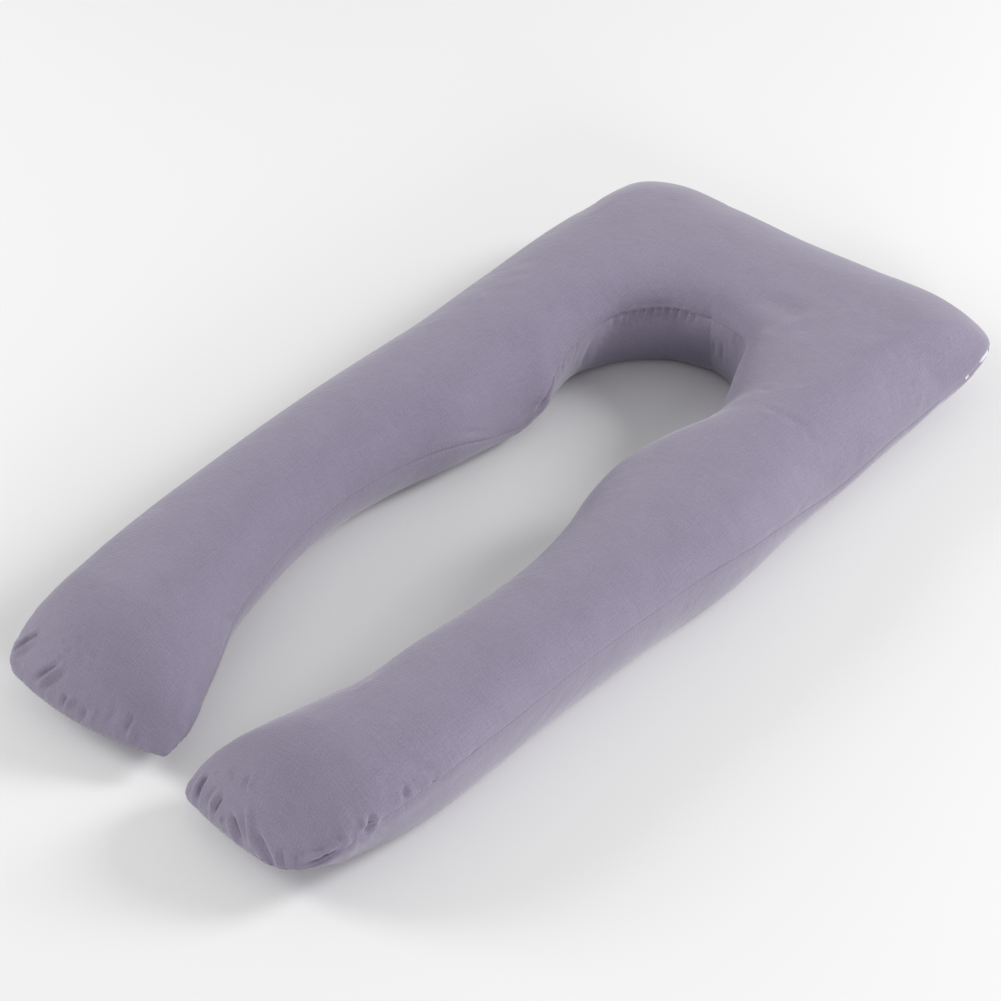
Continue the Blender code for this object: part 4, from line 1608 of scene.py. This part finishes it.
@dataclass(frozen=True)
class Zip:
    """The closed zip in the seam round the right corner of the head end.

    Attributes:
        first: The section that it starts at.
        last: The section that it ends at.
        sink: How far inside the seam it lies where the cloth covers it.
        teeth: The coil's sizes.
        tape_height: Of its two tapes together.
        tape_thickness: Of a tape.
        peeks: Where it shows.
        steps: Points that its line is worked out at.
    """

    first: str = "head_bend"
    last: str = "crook"
    sink: float = 6.5 * MM
    teeth: Rods = Rods(1.25 * MM, 0.62 * MM, 4.4 * MM, flatness=0.75, lean=0.1, sides=6)
    tape_height: float = 7.5 * MM
    tape_thickness: float = 0.7 * MM
    peeks: tuple[Peek, ...] = (Peek(25.1, 1.1, 6.0), Peek(28.0, 0.3, 5.4))
    steps: int = 160

    def places(self, cover: Cover) -> tuple[float, float]:
        """Where it starts and ends along the middle of the stuffing."""
        return cover.stuffing.place_of(self.first), cover.stuffing.place_of(self.last)

    def build(self, cover: Cover) -> tuple[bpy.types.Object, bpy.types.Object]:
        """Makes the coil and the tapes.

        Args:
            cover: The finished cover's grid.

        Returns:
            The coil and the tapes.
        """
        first, last = self.places(cover)
        places = np.linspace(first, last, self.steps)
        seam = cover.stuffing.seam(places, Leg.RIGHT, Edge.OUTER) - cover.table_middle()
        along = unit(np.gradient(seam, axis=0))
        outward = unit(np.cross(along, (0.0, 0.0, 1.0)))
        outward *= np.sign(np.sum(outward * (seam - cover.points.mean(axis=(0, 1))), axis=1))[:, None]
        out = np.zeros(len(places))
        for peek in self.peeks:
            near = ease(1.5 - np.abs(places - peek.place_cm * CM) / (peek.half_cm * CM))
            out = np.maximum(out, peek.out_mm * MM * near)
        line = seam - outward * (self.sink - out)[:, None]
        up = unit(np.cross(outward, along)) * np.sign(np.cross(outward, along)[:, 2:])
        coil = self.teeth.build("zip_coil", line, up, outward, ZIP_NYLON.material())
        return coil, self.tape(line - outward * self.teeth.radius, up, outward)

    def tape(self, line: np.ndarray, up: np.ndarray, outward: np.ndarray) -> bpy.types.Object:
        """The tapes behind the coil, as one closed strip.

        Args:
            line: The line that the strip's front lies on.
            up: The direction across it.
            outward: The direction that it faces.

        Returns:
            The strip.
        """
        half, back = self.tape_height / 2, outward * self.tape_thickness
        high, low = line + up * half, line - up * half
        rings = np.stack((high, low, low - back, high - back), 1)
        count = len(line)
        n = np.arange(count * 4).reshape(count, 4)
        faces = [
            (int(n[k, j]), int(n[k, (j + 1) % 4]), int(n[k + 1, (j + 1) % 4]), int(n[k + 1, j]))
            for k in range(count - 1)
            for j in range(4)
        ]
        faces += [tuple(map(int, n[0, ::-1])), tuple(map(int, n[-1]))]
        mesh = bpy.data.meshes.new("zip_tape")
        mesh.from_pydata(rings.reshape(-1, 3).tolist(), [], faces)
        mesh.update()
        mesh.materials.append(ZIP_TAPE.material())
        piece = bpy.data.objects.new("zip_tape", mesh)
        bpy.context.scene.collection.objects.link(piece)
        return piece


@dataclass(frozen=True)
class Lamp:
    """A square soft light that faces the pillow.

    Attributes:
        name: Its name.
        place: Where it hangs.
        size: Its side.
        watts: Its strength.
    """

    name: str
    place: tuple[float, float, float]
    size: float
    watts: float

    def hang(self) -> None:
        """Hangs the light."""
        data = bpy.data.lights.new(self.name, "AREA")
        data.shape = "SQUARE"
        data.size = self.size
        data.energy = self.watts
        light = bpy.data.objects.new(self.name, data)
        light.location = self.place
        light.rotation_euler = Vector(self.place).to_track_quat("Z", "Y").to_euler()
        bpy.context.scene.collection.objects.link(light)


@dataclass
class Studio:
    """The pale floor, the soft lights and the camera.

    Attributes:
        azimuth: Where the camera stands, in degrees round the pillow.
        elevation: Where it stands, in degrees above the floor.
        distance: From the camera to what it looks at.
        target: What it looks at.
        focal_pixels: The camera's focal length in the picture's pixels.
        picture: The picture's side in pixels.
        lamps: The lights.
        daylight: Strength of the white surroundings.
        floor_half: Half of the floor's side.
        floor_white: The floor's colour, the same for red, green and blue.
    """

    azimuth: float = 40.19
    elevation: float = 39.46
    distance: float = 3.888
    target: tuple[float, float, float] = (-0.0576, 0.0317, 0.0)
    focal_pixels: float = 2854.0
    picture: float = 1001.0
    lamps: tuple[Lamp, ...] = (
        Lamp("key", (2.8, 3.8, 2.8), 1.6, 205.0),
        Lamp("side", (4.0, -2.5, 1.7), 1.1, 80.0),
        Lamp("left", (-3.5, -1.8, 2.0), 1.7, 94.0),
    )
    daylight: float = 0.54
    floor_half: float = 12.0
    floor_white: float = 0.76

    def camera(self) -> None:
        """Stands the camera at the picture's angle."""
        data = bpy.data.cameras.new("camera")
        data.sensor_width = 36.0
        data.lens = self.focal_pixels / self.picture * data.sensor_width
        across, up = math.radians(self.azimuth), math.radians(self.elevation)
        back = Vector((math.sin(across) * math.cos(up), -math.cos(across) * math.cos(up), math.sin(up)))
        camera = bpy.data.objects.new("camera", data)
        camera.location = Vector(self.target) + back * self.distance
        camera.rotation_euler = back.to_track_quat("Z", "Y").to_euler()
        bpy.context.scene.collection.objects.link(camera)
        bpy.context.scene.camera = camera

    def floor(self) -> None:
        """Lays the pale floor."""
        mesh = bpy.data.meshes.new("floor")
        half, white = self.floor_half, self.floor_white
        corners = [(-half, -half, 0), (half, -half, 0), (half, half, 0), (-half, half, 0)]
        mesh.from_pydata(corners, [], [(0, 1, 2, 3)])
        paint = bpy.data.materials.new("floor_paint")
        paint.use_nodes = True
        shader = paint.node_tree.nodes["Principled BSDF"]
        shader.inputs["Base Color"].default_value = (white, white, white, 1.0)
        shader.inputs["Roughness"].default_value = 0.7
        mesh.materials.append(paint)
        floor = bpy.data.objects.new("floor", mesh)
        bpy.context.scene.collection.objects.link(floor)

    def build(self) -> None:
        """Sets up the floor, lights, surroundings and camera."""
        self.floor()
        for lamp in self.lamps:
            lamp.hang()
        world = bpy.data.worlds.new("studio")
        world.use_nodes = True
        background = world.node_tree.nodes["Background"]
        background.inputs["Color"].default_value = (1.0, 1.0, 1.0, 1.0)
        background.inputs["Strength"].default_value = self.daylight
        bpy.context.scene.world = world
        bpy.context.scene.view_settings.view_transform = "Standard"
        self.camera()


def main() -> None:
    """Builds the pillow and the studio, and reports each piece."""
    logging.basicConfig(level=logging.INFO, format="%(name)s: %(message)s")
    Studio().build()
    cover = Cover(Stuffing())
    cover.shape_cloth()
    cloth = cover.build("pillow_cover", Cotton().material())
    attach(cloth, "root")
    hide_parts("pillow")
    zipper = Zip()
    stitches = SeamStitches().build(cover, zipper.places(cover))
    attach(stitches, "root")
    coil, tape = zipper.build(cover)
    for piece in (coil, tape):
        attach(piece, "root")
        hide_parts("zip_chain")
    for piece in (cloth, stitches, coil, tape):
        LOG.info("%s: %d faces", piece.name, len(piece.data.polygons))


if __name__ == "__main__":
    main()
